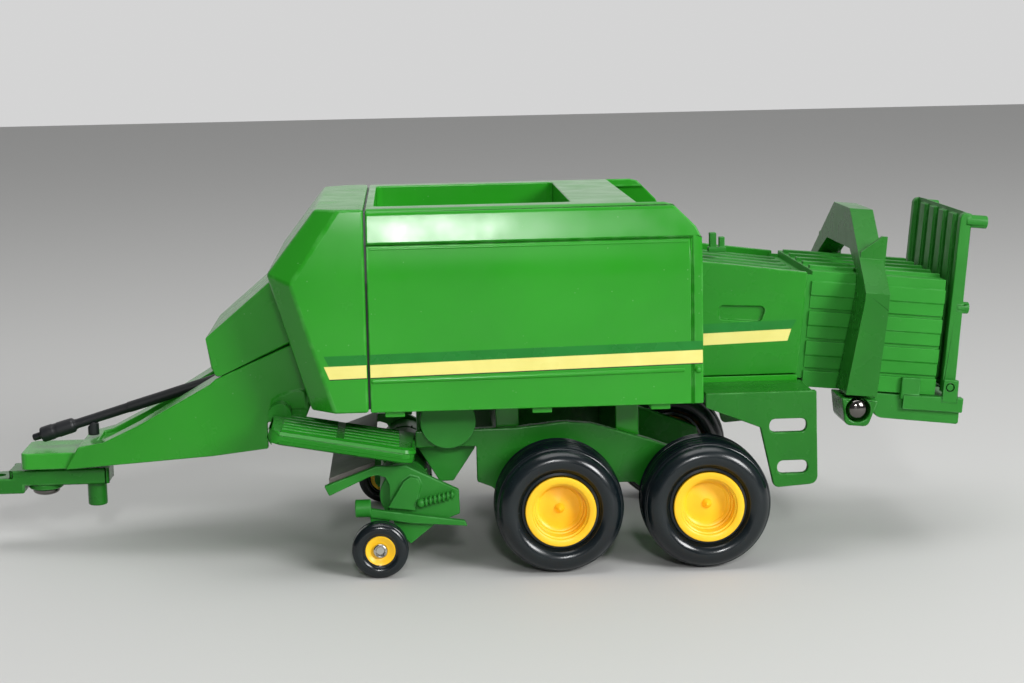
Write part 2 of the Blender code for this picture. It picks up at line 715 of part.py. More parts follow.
def make_feeder_housing():
    top = BASE_LOW_Z - GAP
    outline = [(35.6 * MM, 29.8 * MM), (35.6 * MM, top), (20.6 * MM, top),
               (20.6 * MM, 29.0 * MM), (26.4 * MM, 20.4 * MM), (30 * MM, 20.4 * MM)]
    half = BASE_HALF - 0.4 * MM
    housing = piece("feeder_housing", plate("y", -half, half, outline), CASTING)
    inner = [(31 * MM, 18 * MM), (33.8 * MM, 30 * MM), (33.8 * MM, top - 1.8 * MM),
             (22.4 * MM, top - 1.8 * MM), (22.4 * MM, 29.4 * MM), (27.8 * MM, 18 * MM)]
    cut(housing, plate("y", -half + 1.8 * MM, half - 1.8 * MM, inner))


# ---------------------------------------------------------------- rear housing


def panel_outline():
    return [(PANEL_FRONT, PANEL_BASE_Z), (PANEL_REAR_BASE, PANEL_BASE_Z),
            (PANEL_REAR_TOP, PANEL_TOP_REAR_Z), (PANEL_FRONT, PANEL_TOP_FRONT_Z)]


def make_rear_panel(name, side):
    low, high = sorted((side * (PANEL_HALF - PANEL_THICK), side * PANEL_HALF))
    panel = piece(name, plate("y", low, high, panel_outline()), CASTING)
    recess = rounded([(-54.2 * MM, 60.6 * MM), (-43.2 * MM, 61.6 * MM),
                      (-43.2 * MM, 65.2 * MM), (-55.6 * MM, 64.6 * MM)], 1.1 * MM)
    face = side * PANEL_HALF
    depth = sorted((face - side * 1.2 * MM, face + side * 1 * MM))
    cut(panel, plate("y", depth[0], depth[1], recess))


def make_housing_deck():
    """The ribbed plate that closes the top between the rear panels."""
    half = PANEL_HALF - PANEL_THICK - GAP
    front_z = PANEL_TOP_FRONT_Z - DECK_DROP
    rear_z = PANEL_TOP_REAR_Z - DECK_DROP
    outline = [(PANEL_FRONT, front_z), (PANEL_FRONT, front_z - DECK_THICK),
               (PANEL_REAR_TOP, rear_z - DECK_THICK), (PANEL_REAR_TOP, rear_z)]
    deck = piece("housing_deck", plate("y", -half, half, outline), CASTING)
    top, root = 0.9 * MM, -0.5 * MM
    ridge = [(PANEL_FRONT, front_z + top), (PANEL_FRONT, front_z + root),
             (PANEL_REAR_TOP, rear_z + root), (PANEL_REAR_TOP, rear_z + top)]
    for index in range(DECK_RIBS):
        y = half * (2 * index + 1 - DECK_RIBS) / DECK_RIBS
        join(deck, plate("y", y - 1.1 * MM, y + 1.1 * MM, ridge))


def make_housing_floor():
    half = PANEL_HALF
    floor = box((PANEL_REAR_BASE, PANEL_FRONT), (-half, half),
                (BASE_TOP_Z + GAP, PANEL_BASE_Z - GAP))
    piece("housing_floor", floor, PAINT)


def make_top_posts():
    """Two thin upright fingers on one foot."""
    x = -46 * MM
    z = on_slope((PANEL_FRONT, PANEL_TOP_FRONT_Z), (PANEL_REAR_TOP, PANEL_TOP_REAR_Z), x)
    foot, finger = 1.5 * MM, 1.1 * MM
    post = piece("needle_stop", box((x - 3.2 * MM, x + 1.6 * MM), (-foot, foot),
                                    (z + 0.3 * MM, z + 1.6 * MM)), CASTING)
    for start, end, top in ((-0.6 * MM, 1.2 * MM, 81.4 * MM), (-2.9 * MM, -1.4 * MM, 80.2 * MM)):
        join(post, box((x + start, x + end), (-finger, finger), (z + 1 * MM, top)))


def make_ladder(name, side):
    """A shelf beside the rear panel, with its slotted side plate."""
    outer = LADDER_OUTER
    outline = rounded([
        (-37.2 * MM, SHELF_Z), (-65.4 * MM, SHELF_Z), (-65.8 * MM, 21.2 * MM),
        (-54.6 * MM, 20.4 * MM), (-51.1 * MM, 36.1 * MM), (-37.2 * MM, 41.6 * MM),
    ], [0, 0, 2 * MM, 1.4 * MM, 0, 0])
    upper = rounded([(-62.9 * MM, 34.7 * MM), (-53.2 * MM, 34.7 * MM),
                     (-53.6 * MM, 38.2 * MM), (-62.9 * MM, 38.2 * MM)], 1.4 * MM)
    lower = rounded([(-63.2 * MM, 24.0 * MM), (-55.2 * MM, 24.0 * MM),
                     (-55.6 * MM, 27.4 * MM), (-63.2 * MM, 27.4 * MM)], 1.4 * MM)
    low, high = sorted((side * (outer - LADDER_THICK), side * outer))
    ladder = piece(name, plate("y", low, high, outline, upper, lower), CASTING)
    inner = PANEL_HALF + GAP
    low, high = sorted((side * inner, side * (outer - 1 * MM)))
    join(ladder, box((-64.6 * MM, -37.2 * MM), (low, high), (SHELF_Z - SHELF_THICK, SHELF_Z)))


# ---------------------------------------------------------------- tail


def board_section(half, low, top):
    """A side wall of boards in (Y, Z): a groove under each board and a step across it."""
    right = []
    z = top
    while z - BOARD_PITCH > low + 1 * MM:
        right += [(half, z), (half, z - 0.45 * BOARD_PITCH),
                  (half - 0.45 * MM, z - 0.5 * BOARD_PITCH),
                  (half - 0.45 * MM, z - BOARD_PITCH + BOARD_GROOVE),
                  (half - 1.0 * MM, z - BOARD_PITCH + BOARD_GROOVE),
                  (half - 1.0 * MM, z - BOARD_PITCH)]
        z -= BOARD_PITCH
    right += [(half, z), (half, low)]
    return right


def make_bale_chamber():
    right = board_section(CHAMBER_HALF, CHAMBER_LOW, CHAMBER_TOP - 2.6 * MM)
    right = [(CHAMBER_HALF - 0.8 * MM, CHAMBER_TOP), (CHAMBER_HALF - 0.8 * MM,
             CHAMBER_TOP - 2.6 * MM)] + right
    section = right + [(-y, z) for y, z in reversed(right)]
    chamber = piece(
        "bale_chamber", in_tail(plate("x", -CHAMBER_LENGTH, -GAP * 2, section)), PAINT
    )
    hollow = CHAMBER_HALF - CHAMBER_WALL - 1.0 * MM
    inside = box((-CHAMBER_LENGTH - 1 * MM, 1 * MM), (-hollow, hollow),
                 (CHAMBER_LOW + CHAMBER_WALL, CHAMBER_TOP - CHAMBER_WALL))
    cut(chamber, in_tail(inside), "MANIFOLD")
    for index in range(5):
        y = (index - 2) * 9 * MM
        join(chamber, in_tail(box((GAP - CHAMBER_LENGTH, -3 * GAP), (y - 1.1 * MM, y + 1.1 * MM),
                                  (CHAMBER_TOP - 0.5 * MM, CHAMBER_TOP + 0.9 * MM))), "MANIFOLD")


def make_tension_yoke():
    """A wide arch over the chamber, with legs that splay forwards at the foot."""
    rear = YOKE_FRONT - YOKE_DEPTH
    inner = CHAMBER_HALF + GAP
    foot = CHAMBER_LOW + 0.6 * MM
    opening_top = 21 * MM
    half = [(YOKE_CROWN_HALF, YOKE_TOP), (YOKE_HALF, YOKE_SHOULDER), (YOKE_HALF, 8 * MM)]
    inside = [(inner, 8 * MM), (inner, CHAMBER_TOP), (14 * MM, opening_top)]
    outline = [(-YOKE_CROWN_HALF, YOKE_TOP), *half, *inside]
    outline += [(-y, z) for y, z in reversed(inside)]
    outline += [(-y, z) for y, z in reversed(half[1:])]
    yoke = piece("tension_yoke", in_tail(plate("x", rear, YOKE_FRONT, outline)), CASTING)
    leg = [(YOKE_FRONT, YOKE_SHOULDER - 2 * MM), (rear, YOKE_SHOULDER - 2 * MM),
           (rear + 0.7 * MM, foot), (YOKE_FRONT + 2.5 * MM, foot)]
    lug = [(YOKE_FRONT - 0.3 * MM, 15 * MM), (rear - 0.6 * MM, 15 * MM),
           (rear - 0.6 * MM, YOKE_LUG_TOP), (rear + 0.8 * MM, YOKE_LUG_TOP),
           (YOKE_FRONT - 0.3 * MM, 21.4 * MM)]
    for side in (1, -1):
        low, high = sorted((side * inner, side * YOKE_HALF))
        join(yoke, in_tail(plate("y", low, high, leg)), "MANIFOLD")
        low, high = sorted((side * YOKE_LUG_Y, side * (YOKE_LUG_Y + 1.4 * MM)))
        join(yoke, in_tail(plate("y", low, high, lug)), "MANIFOLD")


def make_yoke_bracket(name, side):
    """The cup that the yoke's foot stands on, reaching out from the chamber's floor."""
    inner = CHAMBER_HALF - 1.2 * MM
    low, high = sorted((side * inner, side * (YOKE_HALF + 0.4 * MM)))
    outline = rounded([(-8.6 * MM, CHAMBER_LOW - GAP), (-18 * MM, CHAMBER_LOW - GAP),
                       (-16 * MM, CHAMBER_LOW - 7.2 * MM), (-10 * MM, CHAMBER_LOW - 7.2 * MM)],
                      [0, 0, 1.6 * MM, 1.6 * MM])
    bracket = piece(name, in_tail(plate("y", low, high, outline)), CASTING)
    pocket = sorted((side * (YOKE_HALF - 3 * MM), side * (YOKE_HALF + 2 * MM)))
    cut(bracket, in_tail(rod("y", (-13 * MM, CHAMBER_LOW - 3 * MM), 2.9 * MM + GAP,
                             pocket[0], pocket[1], 24)))


def make_yoke_rivet(name, side):
    low = side * (YOKE_HALF - 3 * MM + GAP)
    high = side * (YOKE_HALF + 0.6 * MM)
    rivet = piece(name, in_tail(rod("y", (-13 * MM, CHAMBER_LOW - 3 * MM), 2.7 * MM,
                                    *sorted((low, high)), 14)), BRIGHT)
    bevel(rivet, 1.0 * MM, 2)


def make_sill():
    """The block under the chamber's mouth that carries the chute."""
    half = CHAMBER_HALF + 0.2 * MM
    outline = rounded([(-20 * MM, SILL_TOP), (-43 * MM, SILL_TOP),
                       (-43 * MM, SILL_LOW), (-20 * MM, SILL_LOW + 0.4 * MM)],
                      [0, 0, 0.8 * MM, 2.4 * MM])
    sill = piece("chute_sill", in_tail(plate("y", -half, half, outline)), CASTING)
    for side in (1, -1):
        low, high = sorted((side * (half - 1 * MM), side * (half + 1.4 * MM)))
        join(sill, in_tail(box((-43.4 * MM, -27.4 * MM), (low, high),
                               (SILL_TOP - 3.6 * MM, SILL_TOP + 0.3 * MM))))
        tab = sorted((side * (half - 0.4 * MM + GAP), side * (half + 1.2 * MM)))
        join(sill, in_tail(box((-31.6 * MM, -26.6 * MM), (tab[0], tab[1]),
                               (SILL_TOP - 1 * MM, SILL_TOP + 4.8 * MM))))
    cut(sill, in_tail(box((-41 * MM, -22 * MM), (-half + 2 * MM, half - 2 * MM),
                          (SILL_LOW - 1 * MM, SILL_TOP - 2 * MM))))
    for side in (1, -1):
        ear = sorted((side * (CHUTE_HALF + GAP), side * (half + 1.4 * MM + GAP)))
        join(sill, in_tail(box((-41.6 * MM, -37.6 * MM), (ear[0], ear[1]),
                               (SILL_TOP - 1 * MM, CHUTE_HINGE[1] + 2 * MM))))
    cut(sill, in_tail(rod("y", CHUTE_HINGE, 0.9 * MM + PIN_PLAY, -40 * MM, 40 * MM, 16)))


def make_chute(fold):
    """Folded up behind the chamber: a ribbed panel between two posts."""
    panel_back = CHUTE_FRONT - CHUTE_DEPTH
    low = SILL_TOP + 1.3 * MM
    chute = piece(
        "chute",
        in_tail(box((panel_back, panel_back + 1.4 * MM),
                    (-CHUTE_HALF + 1 * MM, CHUTE_HALF - 1 * MM), (low, CHUTE_TOP))),
        CASTING, fold,
    )
    post = rounded([(CHUTE_FRONT - GAP, low), (panel_back - 0.8 * MM, low),
                    (panel_back - 0.2 * MM, CHUTE_TOP), (CHUTE_FRONT - GAP, CHUTE_TOP)],
                   [0, 0, 0, 1.4 * MM])
    for side in (1, -1):
        low_y, high_y = sorted((side * (CHUTE_HALF - 2.6 * MM), side * CHUTE_HALF))
        join(chute, in_tail(plate("y", low_y, high_y, post)), "MANIFOLD")
        peg = (side * (CHUTE_HALF - 1.3 * MM), CHUTE_TOP - CHUTE_PEG_DROP)
        join(chute, in_tail(rod("x", peg, CHUTE_PEG_RADIUS, PEG_END, panel_back + 1 * MM, 14)),
             "MANIFOLD")
        knob = (side * (CHUTE_HALF - 1.3 * MM), CHUTE_KNOB[1])
        knob_end = panel_back - CHUTE_KNOB_LENGTH
        join(chute, in_tail(rod("x", knob, CHUTE_KNOB[0], knob_end, panel_back + 1 * MM, 12)),
             "MANIFOLD")
    pitch = 2 * (CHUTE_HALF - 1.3 * MM) / (CHUTE_RIBS + 1)
    for index in range(CHUTE_RIBS):
        y = (index - (CHUTE_RIBS - 1) / 2) * pitch
        rib = box((panel_back + 1 * MM, CHUTE_FRONT - 0.6 * MM),
                  (y - CHUTE_RIB_HALF, y + CHUTE_RIB_HALF), (low, CHUTE_TOP - 0.8 * MM))
        join(chute, in_tail(rib), "MANIFOLD")
    cut(chute, in_tail(rod("y", CHUTE_HINGE, 0.9 * MM + PIN_PLAY, -40 * MM, 40 * MM, 16)),
        "MANIFOLD")


def make_chute_pin():
    reach = CHAMBER_HALF + 1.9 * MM
    piece("chute_pin", in_tail(rod("y", CHUTE_HINGE, 0.9 * MM, -reach, reach, 16)), CASTING)


# ---------------------------------------------------------------- pickup


def make_pickup_side(name, side, lift):
    outline = [
        (59.6 * MM, 22.8 * MM), (46.3 * MM, 27.6 * MM), (38.7 * MM, 27.6 * MM),
        (25.3 * MM, 20.8 * MM), (25.2 * MM, 14.6 * MM), (31.2 * MM, 12.4 * MM),
        (38 * MM, 7 * MM), (41.8 * MM, 11.6 * MM), (43.1 * MM, 15.9 * MM),
        (43.1 * MM, 22.6 * MM), (44 * MM, 24.6 * MM), (46 * MM, 25.3 * MM),
        (48 * MM, 24.9 * MM), (58.4 * MM, 20.2 * MM),
    ]
    low, high = sorted((side * (PICKUP_HALF - PICKUP_PLATE), side * PICKUP_HALF))
    made = piece(name, plate("y", low, high, outline), CASTING, lift)
    arm = [(43.6 * MM, 17 * MM), (39.4 * MM, 23.8 * MM), (37.6 * MM, 25.0 * MM),
           (35.6 * MM, 24.4 * MM), (34.9 * MM, 22.6 * MM), (36.7 * MM, 16 * MM)]
    low, high = sorted((side * (PICKUP_HALF - 1 * MM), side * (PICKUP_HALF + 1.4 * MM)))
    join(made, plate("y", low, high, arm))
    return made


def make_gauge_arm(name, side, lift):
    """The bar along the pickup's side, with the round boss that holds a gauge wheel's fork."""
    near = PICKUP_HALF + GAP
    bar = [(51.8 * MM, 17.6 * MM), (24 * MM, 13.2 * MM), (23.4 * MM, 11.8 * MM),
           (38 * MM, 13.0 * MM), (51.8 * MM, 15.6 * MM)]
    low, high = sorted((side * near, side * (near + 1.8 * MM)))
    arm = piece(name, plate("y", low, high, bar), CASTING, lift)
    boss_x = 49.8 * MM
    join(arm, rod("x", (side * (near + 2.1 * MM), 17.4 * MM), 2.3 * MM,
                  boss_x - 2 * MM, boss_x + 2 * MM, 16))
    hanger = rounded([(GAUGE_X - 2.4 * MM, 15.5 * MM), (GAUGE_X - 2.4 * MM, 5.6 * MM),
                      (GAUGE_X + 2.4 * MM, 5.6 * MM), (GAUGE_X + 2.4 * MM, 16.6 * MM)],
                     [0, 1.6 * MM, 1.6 * MM, 0])
    hanger_y = sorted((side * near, side * (near + 1.5 * MM)))
    join(arm, plate("y", hanger_y[0], hanger_y[1], hanger))


def make_spring(name, side, lift):
    """A cast coil spring, as a stack of rings along a slanted rod."""
    start = Vector((34.4 * MM, 18.3 * MM))
    end = Vector((26.6 * MM, 20.2 * MM))
    y = side * (PICKUP_HALF + 1.6 * MM)
    along = end - start
    direction = Vector((along.x, 0, along.y))
    coils = 7
    profile = []
    for index in range(coils):
        low = along.length * index / coils
        pitch = along.length / coils
        profile += [(0.75 * MM, low), (1.15 * MM, low + 0.3 * pitch),
                    (1.15 * MM, low + 0.7 * pitch)]
    profile += [(0.75 * MM, along.length)]
    profile = [(0, 0)] + profile + [(0, along.length)]
    spring = turned(name, list(reversed(profile)), CASTING, (start.x, y, start.y), 1, lift, 6)
    spring.rotation_euler = direction.to_track_quat("Z", "Y").to_euler()


def make_reel(lift):
    """The tine reel, with a groove between each two stripper bands."""
    half = PICKUP_HALF - PICKUP_PLATE - GAP
    pitch = 2 * half / REEL_BANDS
    groove = 0.7 * MM
    depth = 0.9 * MM
    profile = [(0, half), (REEL_RADIUS, half)]
    for index in range(1, REEL_BANDS):
        y = half - index * pitch
        profile += [(REEL_RADIUS, y + groove), (REEL_RADIUS - depth, y + groove),
                    (REEL_RADIUS - depth, y - groove), (REEL_RADIUS, y - groove)]
    profile += [(REEL_RADIUS, -half), (0, -half)]
    turned("pickup_reel", profile, CASTING, (REEL_CENTRE[0], 0, REEL_CENTRE[1]), 1, lift, 16)


def make_wind_guard(lift):
    """The sloping grey plate ahead of the reel, with its green frame."""
    inner = PICKUP_HALF - PICKUP_PLATE - GAP
    outline = [(58.4 * MM, 22.6 * MM), (46.6 * MM, 26.9 * MM), (46.6 * MM, 28.6 * MM),
               (58.4 * MM, 24.4 * MM)]
    piece("wind_guard", plate("y", -inner, inner, outline), GUARD_GREY, lift)


def make_pickup_pan(lift):
    """Cross members between the pickup's sides: a hinge tube and the lower skid."""
    inner = PICKUP_HALF - PICKUP_PLATE - GAP
    skid = [(31.4 * MM, 12.4 * MM), (38 * MM, 8 * MM), (40.6 * MM, 11.2 * MM),
            (38 * MM, 10.4 * MM), (32 * MM, 13.2 * MM)]
    piece("pickup_skid", plate("y", -inner, inner, skid), CASTING, lift)


# ---------------------------------------------------------------- wheels


def tyre_profile(radius, width, bore, bead):
    """Down the outer side and back up the bore."""
    half = width / 2
    wall = radius - bead
    outer = [(bead, 0.84 * half), (bead + 0.28 * wall, 0.97 * half),
             (bead + 0.52 * wall, half), (bead + 0.8 * wall, 0.91 * half),
             (bead + 0.94 * wall, 0.78 * half), (radius, 0.62 * half)]
    mirrored = [(r, -z) for r, z in reversed(outer)]
    return outer + [(radius, 0)] + mirrored + [(bore, -0.7 * half), (bore, 0.7 * half)]


def make_main_wheel(name, x, side):
    spin = pivot(f"{name}_axis", x, side * TRACK_HALF, WHEEL_RADIUS)
    centre = (x, side * TRACK_HALF, WHEEL_RADIUS)
    bore = RIM_RADIUS - 0.5 * MM
    turned(f"tyre_{name}", tyre_profile(WHEEL_RADIUS, TYRE_WIDTH, bore, RIM_RADIUS),
           TYRE, centre, side, spin, WHEEL_STEPS)
    half = TYRE_WIDTH / 2
    lip = RIM_LIP + GAP
    floor = lip - RIM_DEPTH
    barrel = bore - GAP
    wall = 1.2 * MM
    hole = AXLE_RADIUS + PIN_PLAY
    web = floor - RIM_WEB
    rim = [
        (0, floor), (1.3 * MM, floor - 0.2 * MM), (1.8 * MM, floor - 1.2 * MM),
        (4.6 * MM, floor - 1.8 * MM), (6.6 * MM, floor - 0.6 * MM),
        (7.6 * MM, lip - 0.6 * MM), (RIM_RADIUS - 0.6 * MM, lip + 0.7 * MM),
        (RIM_RADIUS, lip + 0.5 * MM), (RIM_RADIUS, lip), (barrel, lip - 0.5 * MM),
        (barrel, -0.8 * half), (barrel - wall, -0.8 * half), (barrel - 1.5 * wall, web),
        (HUB_RADIUS, web - 0.4 * MM), (HUB_RADIUS, -half), (hole, -half), (hole, web),
        (0, web),
    ]
    turned(f"rim_{name}", rim, RIM_YELLOW, centre, side, spin, WHEEL_STEPS)


def make_axle(name, x):
    reach = TRACK_HALF + RIM_LIP - RIM_DEPTH - RIM_WEB - GAP
    piece(name, rod("y", (x, WHEEL_RADIUS), AXLE_RADIUS, -reach, reach, 20), BRIGHT)


def make_gauge_wheel(name, side, lift):
    spin = pivot(f"{name}_axis", GAUGE_X, side * GAUGE_Y, GAUGE_RADIUS)
    centre = (GAUGE_X, side * GAUGE_Y, GAUGE_RADIUS)
    half = GAUGE_WIDTH / 2
    bore = GAUGE_RIM - 0.4 * MM
    turned(f"tyre_{name}", tyre_profile(GAUGE_RADIUS, GAUGE_WIDTH, bore, GAUGE_RIM),
           TYRE, centre, side, spin, GAUGE_STEPS)
    hole = GAUGE_PIN + PIN_PLAY
    barrel = bore - GAP
    rim = [(hole, 0.5 * half), (2.2 * MM, 0.5 * half), (barrel, 0.8 * half),
           (barrel, -0.7 * half), (hole, -0.7 * half)]
    turned(f"rim_{name}", rim, RIM_YELLOW, centre, side, spin, GAUGE_STEPS)
    inner = side * (PICKUP_HALF + GAP + 1.5 * MM)
    head = side * (GAUGE_Y + 0.5 * half + GAP)
    ends = sorted((inner + side * GAP, head + side * 0.2 * MM))
    rivet = piece(f"rivet_{name}",
                  rod("y", (GAUGE_X, GAUGE_RADIUS), GAUGE_PIN, ends[0], ends[1], 16),
                  BRIGHT, lift)
    cap = sorted((head, head + side * 0.8 * MM))
    join(rivet, rod("y", (GAUGE_X, GAUGE_RADIUS), 1.9 * MM, cap[0], cap[1], 20))
    dimple = sorted((head + side * 0.1 * MM, head + side * 2 * MM))
    cut(rivet, rod("y", (GAUGE_X, GAUGE_RADIUS), 1.1 * MM, dimple[0], dimple[1], 16))


# ---------------------------------------------------------------- the toy

SIDES = (("left", 1), ("right", -1))


def main():
    make_front_cap()
    make_main_hood()
    make_nose_shield()
    make_tongue()
    make_drawbar(pivot("drawbar_swing_axis", RIVET_X, 0, DRAWBAR_TOP_Z))
    make_hitch_rivet()
    make_pto()
    make_base_plate()
    make_feeder_housing()
    make_housing_deck()
    make_housing_floor()
    make_top_posts()
    make_bale_chamber()
    make_tension_yoke()
    make_sill()
    hinge_x, hinge_z = tail_point(*CHUTE_HINGE)
    make_chute(pivot("chute_fold_axis", hinge_x, 0, hinge_z))
    make_chute_pin()
    lift = pivot("pickup_lift_axis", PICKUP_PIVOT[0], 0, PICKUP_PIVOT[1])
    make_reel(lift)
    make_wind_guard(lift)
    make_pickup_pan(lift)
    make_axle("front_axle", 0)
    make_axle("rear_axle", -AXLE_SPACING)
    for word, side in SIDES:
        make_step(f"step_{word}", side)
        make_side_beam(f"side_beam_{word}", side)
        make_pulley(f"flywheel_guard_{word}", side)
        make_rear_panel(f"rear_panel_{word}", side)
        make_ladder(f"ladder_{word}", side)
        make_yoke_bracket(f"yoke_bracket_{word}", side)
        make_yoke_rivet(f"yoke_rivet_{word}", side)
        make_pickup_side(f"pickup_side_{word}", side, lift)
        make_gauge_arm(f"gauge_arm_{word}", side, lift)
        make_spring(f"pickup_spring_{word}", side, lift)
        make_main_wheel(f"front_{word}", 0, side)
        make_main_wheel(f"rear_{word}", -AXLE_SPACING, side)
        make_gauge_wheel(f"gauge_{word}", side, lift)


main()
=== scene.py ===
# %% [markdown]
# # A die-cast toy square baler
#
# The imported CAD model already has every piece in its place, with plain faces and sharp edges.
# This notebook gives it the surface of a real toy: painted castings with soft edges, moulded
# plastic, ribbed tyres, printed stripes and bright rivets.

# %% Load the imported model
import json
import math

import bmesh
import bpy
from mathutils import Matrix, Vector

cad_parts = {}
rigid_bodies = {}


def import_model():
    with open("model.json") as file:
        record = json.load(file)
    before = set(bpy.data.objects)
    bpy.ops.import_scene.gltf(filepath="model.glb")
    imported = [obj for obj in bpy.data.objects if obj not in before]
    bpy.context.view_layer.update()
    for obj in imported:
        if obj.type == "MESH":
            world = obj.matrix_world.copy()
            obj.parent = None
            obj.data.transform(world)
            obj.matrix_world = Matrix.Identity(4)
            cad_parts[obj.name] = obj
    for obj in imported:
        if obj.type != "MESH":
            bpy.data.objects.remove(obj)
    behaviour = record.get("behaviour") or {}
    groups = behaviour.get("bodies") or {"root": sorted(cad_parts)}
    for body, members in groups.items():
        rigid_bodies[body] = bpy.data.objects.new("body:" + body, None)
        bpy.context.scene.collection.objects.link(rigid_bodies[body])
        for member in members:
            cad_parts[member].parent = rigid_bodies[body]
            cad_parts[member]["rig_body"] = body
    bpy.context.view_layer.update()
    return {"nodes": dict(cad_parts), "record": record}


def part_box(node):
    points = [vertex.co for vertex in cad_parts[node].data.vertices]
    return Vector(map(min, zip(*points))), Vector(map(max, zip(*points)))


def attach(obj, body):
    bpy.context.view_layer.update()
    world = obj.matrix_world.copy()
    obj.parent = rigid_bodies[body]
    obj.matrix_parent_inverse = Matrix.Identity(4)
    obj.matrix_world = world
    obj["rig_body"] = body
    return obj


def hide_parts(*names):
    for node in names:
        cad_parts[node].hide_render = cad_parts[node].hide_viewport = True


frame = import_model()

# %% [markdown]
# ## Places and sizes
#
# Positions along the toy are stations, in millimetres ahead of the front axle. Heights and
# sideways distances are plain millimetres. Where a size belongs to a CAD piece, it is read
# from that piece, so the two can't drift apart.

# %% Stations
MM = 0.001
SIDES = (("left", 1), ("right", -1))
axle_low, axle_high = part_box("front_axle")
AXLE_X = (axle_low.x + axle_high.x) / 2


def at(station, across, height):
    """A point of the toy, from millimetres."""
    return Vector((AXLE_X + station * MM, across * MM, height * MM))


def outward(node, side):
    """How far a node's inner and outer faces are from the toy's middle plane, in metres."""
    low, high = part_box(node)
    return (low.y, high.y) if side > 0 else (-high.y, -low.y)


def body_of(node):
    return frame["nodes"][node]["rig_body"]


def link_object(name, data):
    made = bpy.data.objects.new(name, data)
    bpy.context.scene.collection.objects.link(made)
    return made


SLOT_OF = {entry["node"]: entry["material_slot"] for entry in frame["record"]["subparts"]}


# %% Node helpers
def put(tree, socket, value):
    """Links a socket to another, or sets its value."""
    if isinstance(value, bpy.types.NodeSocket):
        tree.links.new(value, socket)
    elif value is not None:
        socket.default_value = value


def add(tree, kind, **inputs):
    """A new node, its inputs given by their labels, with _ for a space."""
    node = tree.nodes.new(kind)
    for label, value in inputs.items():
        put(tree, node.inputs[label.replace("_", " ")], value)
    return node


def math_node(tree, operation, first, second=None, clamp=False):
    node = tree.nodes.new("ShaderNodeMath")
    node.operation = operation
    node.use_clamp = clamp
    for socket, value in zip(node.inputs, (first, second)):
        put(tree, socket, value)
    return node.outputs[0]


def ranged(tree, value, source, target=(0.0, 1.0), smooth=True):
    """Maps a value from one range to another, along a smooth step or a straight line."""
    node = add(tree, "ShaderNodeMapRange", Value=value, From_Min=source[0], From_Max=source[1],
               To_Min=target[0], To_Max=target[1])
    if smooth:
        node.interpolation_type = "SMOOTHSTEP"
    return node.outputs["Result"]


# %% [markdown]
# ## Camera, floor and light
#
# The toy is seen almost square from its left, from a little above, with a short telephoto
# lens. A small softbox stands behind the camera, where its reflection falls on the upper band
# of the hood, with a weak one under it. Two wide ones, to the rear left and over the roof,
# light the sides and the top. The room is dim, with a pale wall behind the toy.

# %% Camera
LENS, SENSOR, NEAREST = 70.31, 36, 0.01
CAMERA_PLACE = (0.01749, 0.53466, 0.13839)
CAMERA_RIGHT = (-0.99828, 0.05523, -0.01975)
CAMERA_BACKWARD = (0.05145, 0.98620, 0.15735)

camera_data = bpy.data.cameras.new("camera")
camera_data.lens = LENS
camera_data.sensor_width = SENSOR
camera_data.clip_start = NEAREST
camera = link_object("camera", camera_data)
right = Vector(CAMERA_RIGHT).normalized()
backward = Vector(CAMERA_BACKWARD).normalized()
turn = Matrix((right, backward.cross(right), backward)).transposed().to_4x4()
camera.matrix_world = Matrix.Translation(CAMERA_PLACE) @ turn
bpy.context.scene.camera = camera
print("camera at", CAMERA_PLACE, "lens", LENS)

# %% Floor and surroundings
FLOOR_SIDE = 5.0
FLOOR_COLOUR, FLOOR_ROUGHNESS = (0.56, 0.56, 0.55, 1), 0.7
floor_mesh = bpy.data.meshes.new("floor")
floor_shape = bmesh.new()
bmesh.ops.create_grid(floor_shape, x_segments=1, y_segments=1, size=FLOOR_SIDE / 2)
floor_shape.to_mesh(floor_mesh)
floor_shape.free()
link_object("floor", floor_mesh)

floor_paint = bpy.data.materials.new("pale_floor")
floor_paint.use_nodes = True
floor_shader = floor_paint.node_tree.nodes["Principled BSDF"]
floor_shader.inputs["Base Color"].default_value = FLOOR_COLOUR
floor_shader.inputs["Roughness"].default_value = FLOOR_ROUGHNESS
floor_mesh.materials.append(floor_paint)

# %% Room
BACKDROP, ROOM = 0.66, 0.13  # the pale wall behind the toy, and the dim room before it
WALL_RANGE, AHEAD_RANGE, AHEAD_SHARE = (-0.35, 0.15), (0.45, 0.95), 0.3

world = bpy.data.worlds.new("pale_room")
bpy.context.scene.world = world
world.use_nodes = True
room = world.node_tree
facing = room.nodes.new("ShaderNodeSeparateXYZ")
room.links.new(room.nodes.new("ShaderNodeTexCoord").outputs["Generated"], facing.inputs[0])
wall = ranged(room, facing.outputs["Y"], WALL_RANGE, (BACKDROP, ROOM))
ahead = ranged(room, facing.outputs["X"], AHEAD_RANGE, (1.0, AHEAD_SHARE))
room.links.new(math_node(room, "MULTIPLY", wall, ahead),
               room.nodes["Background"].inputs["Color"])
bpy.context.scene.view_settings.view_transform = "Standard"


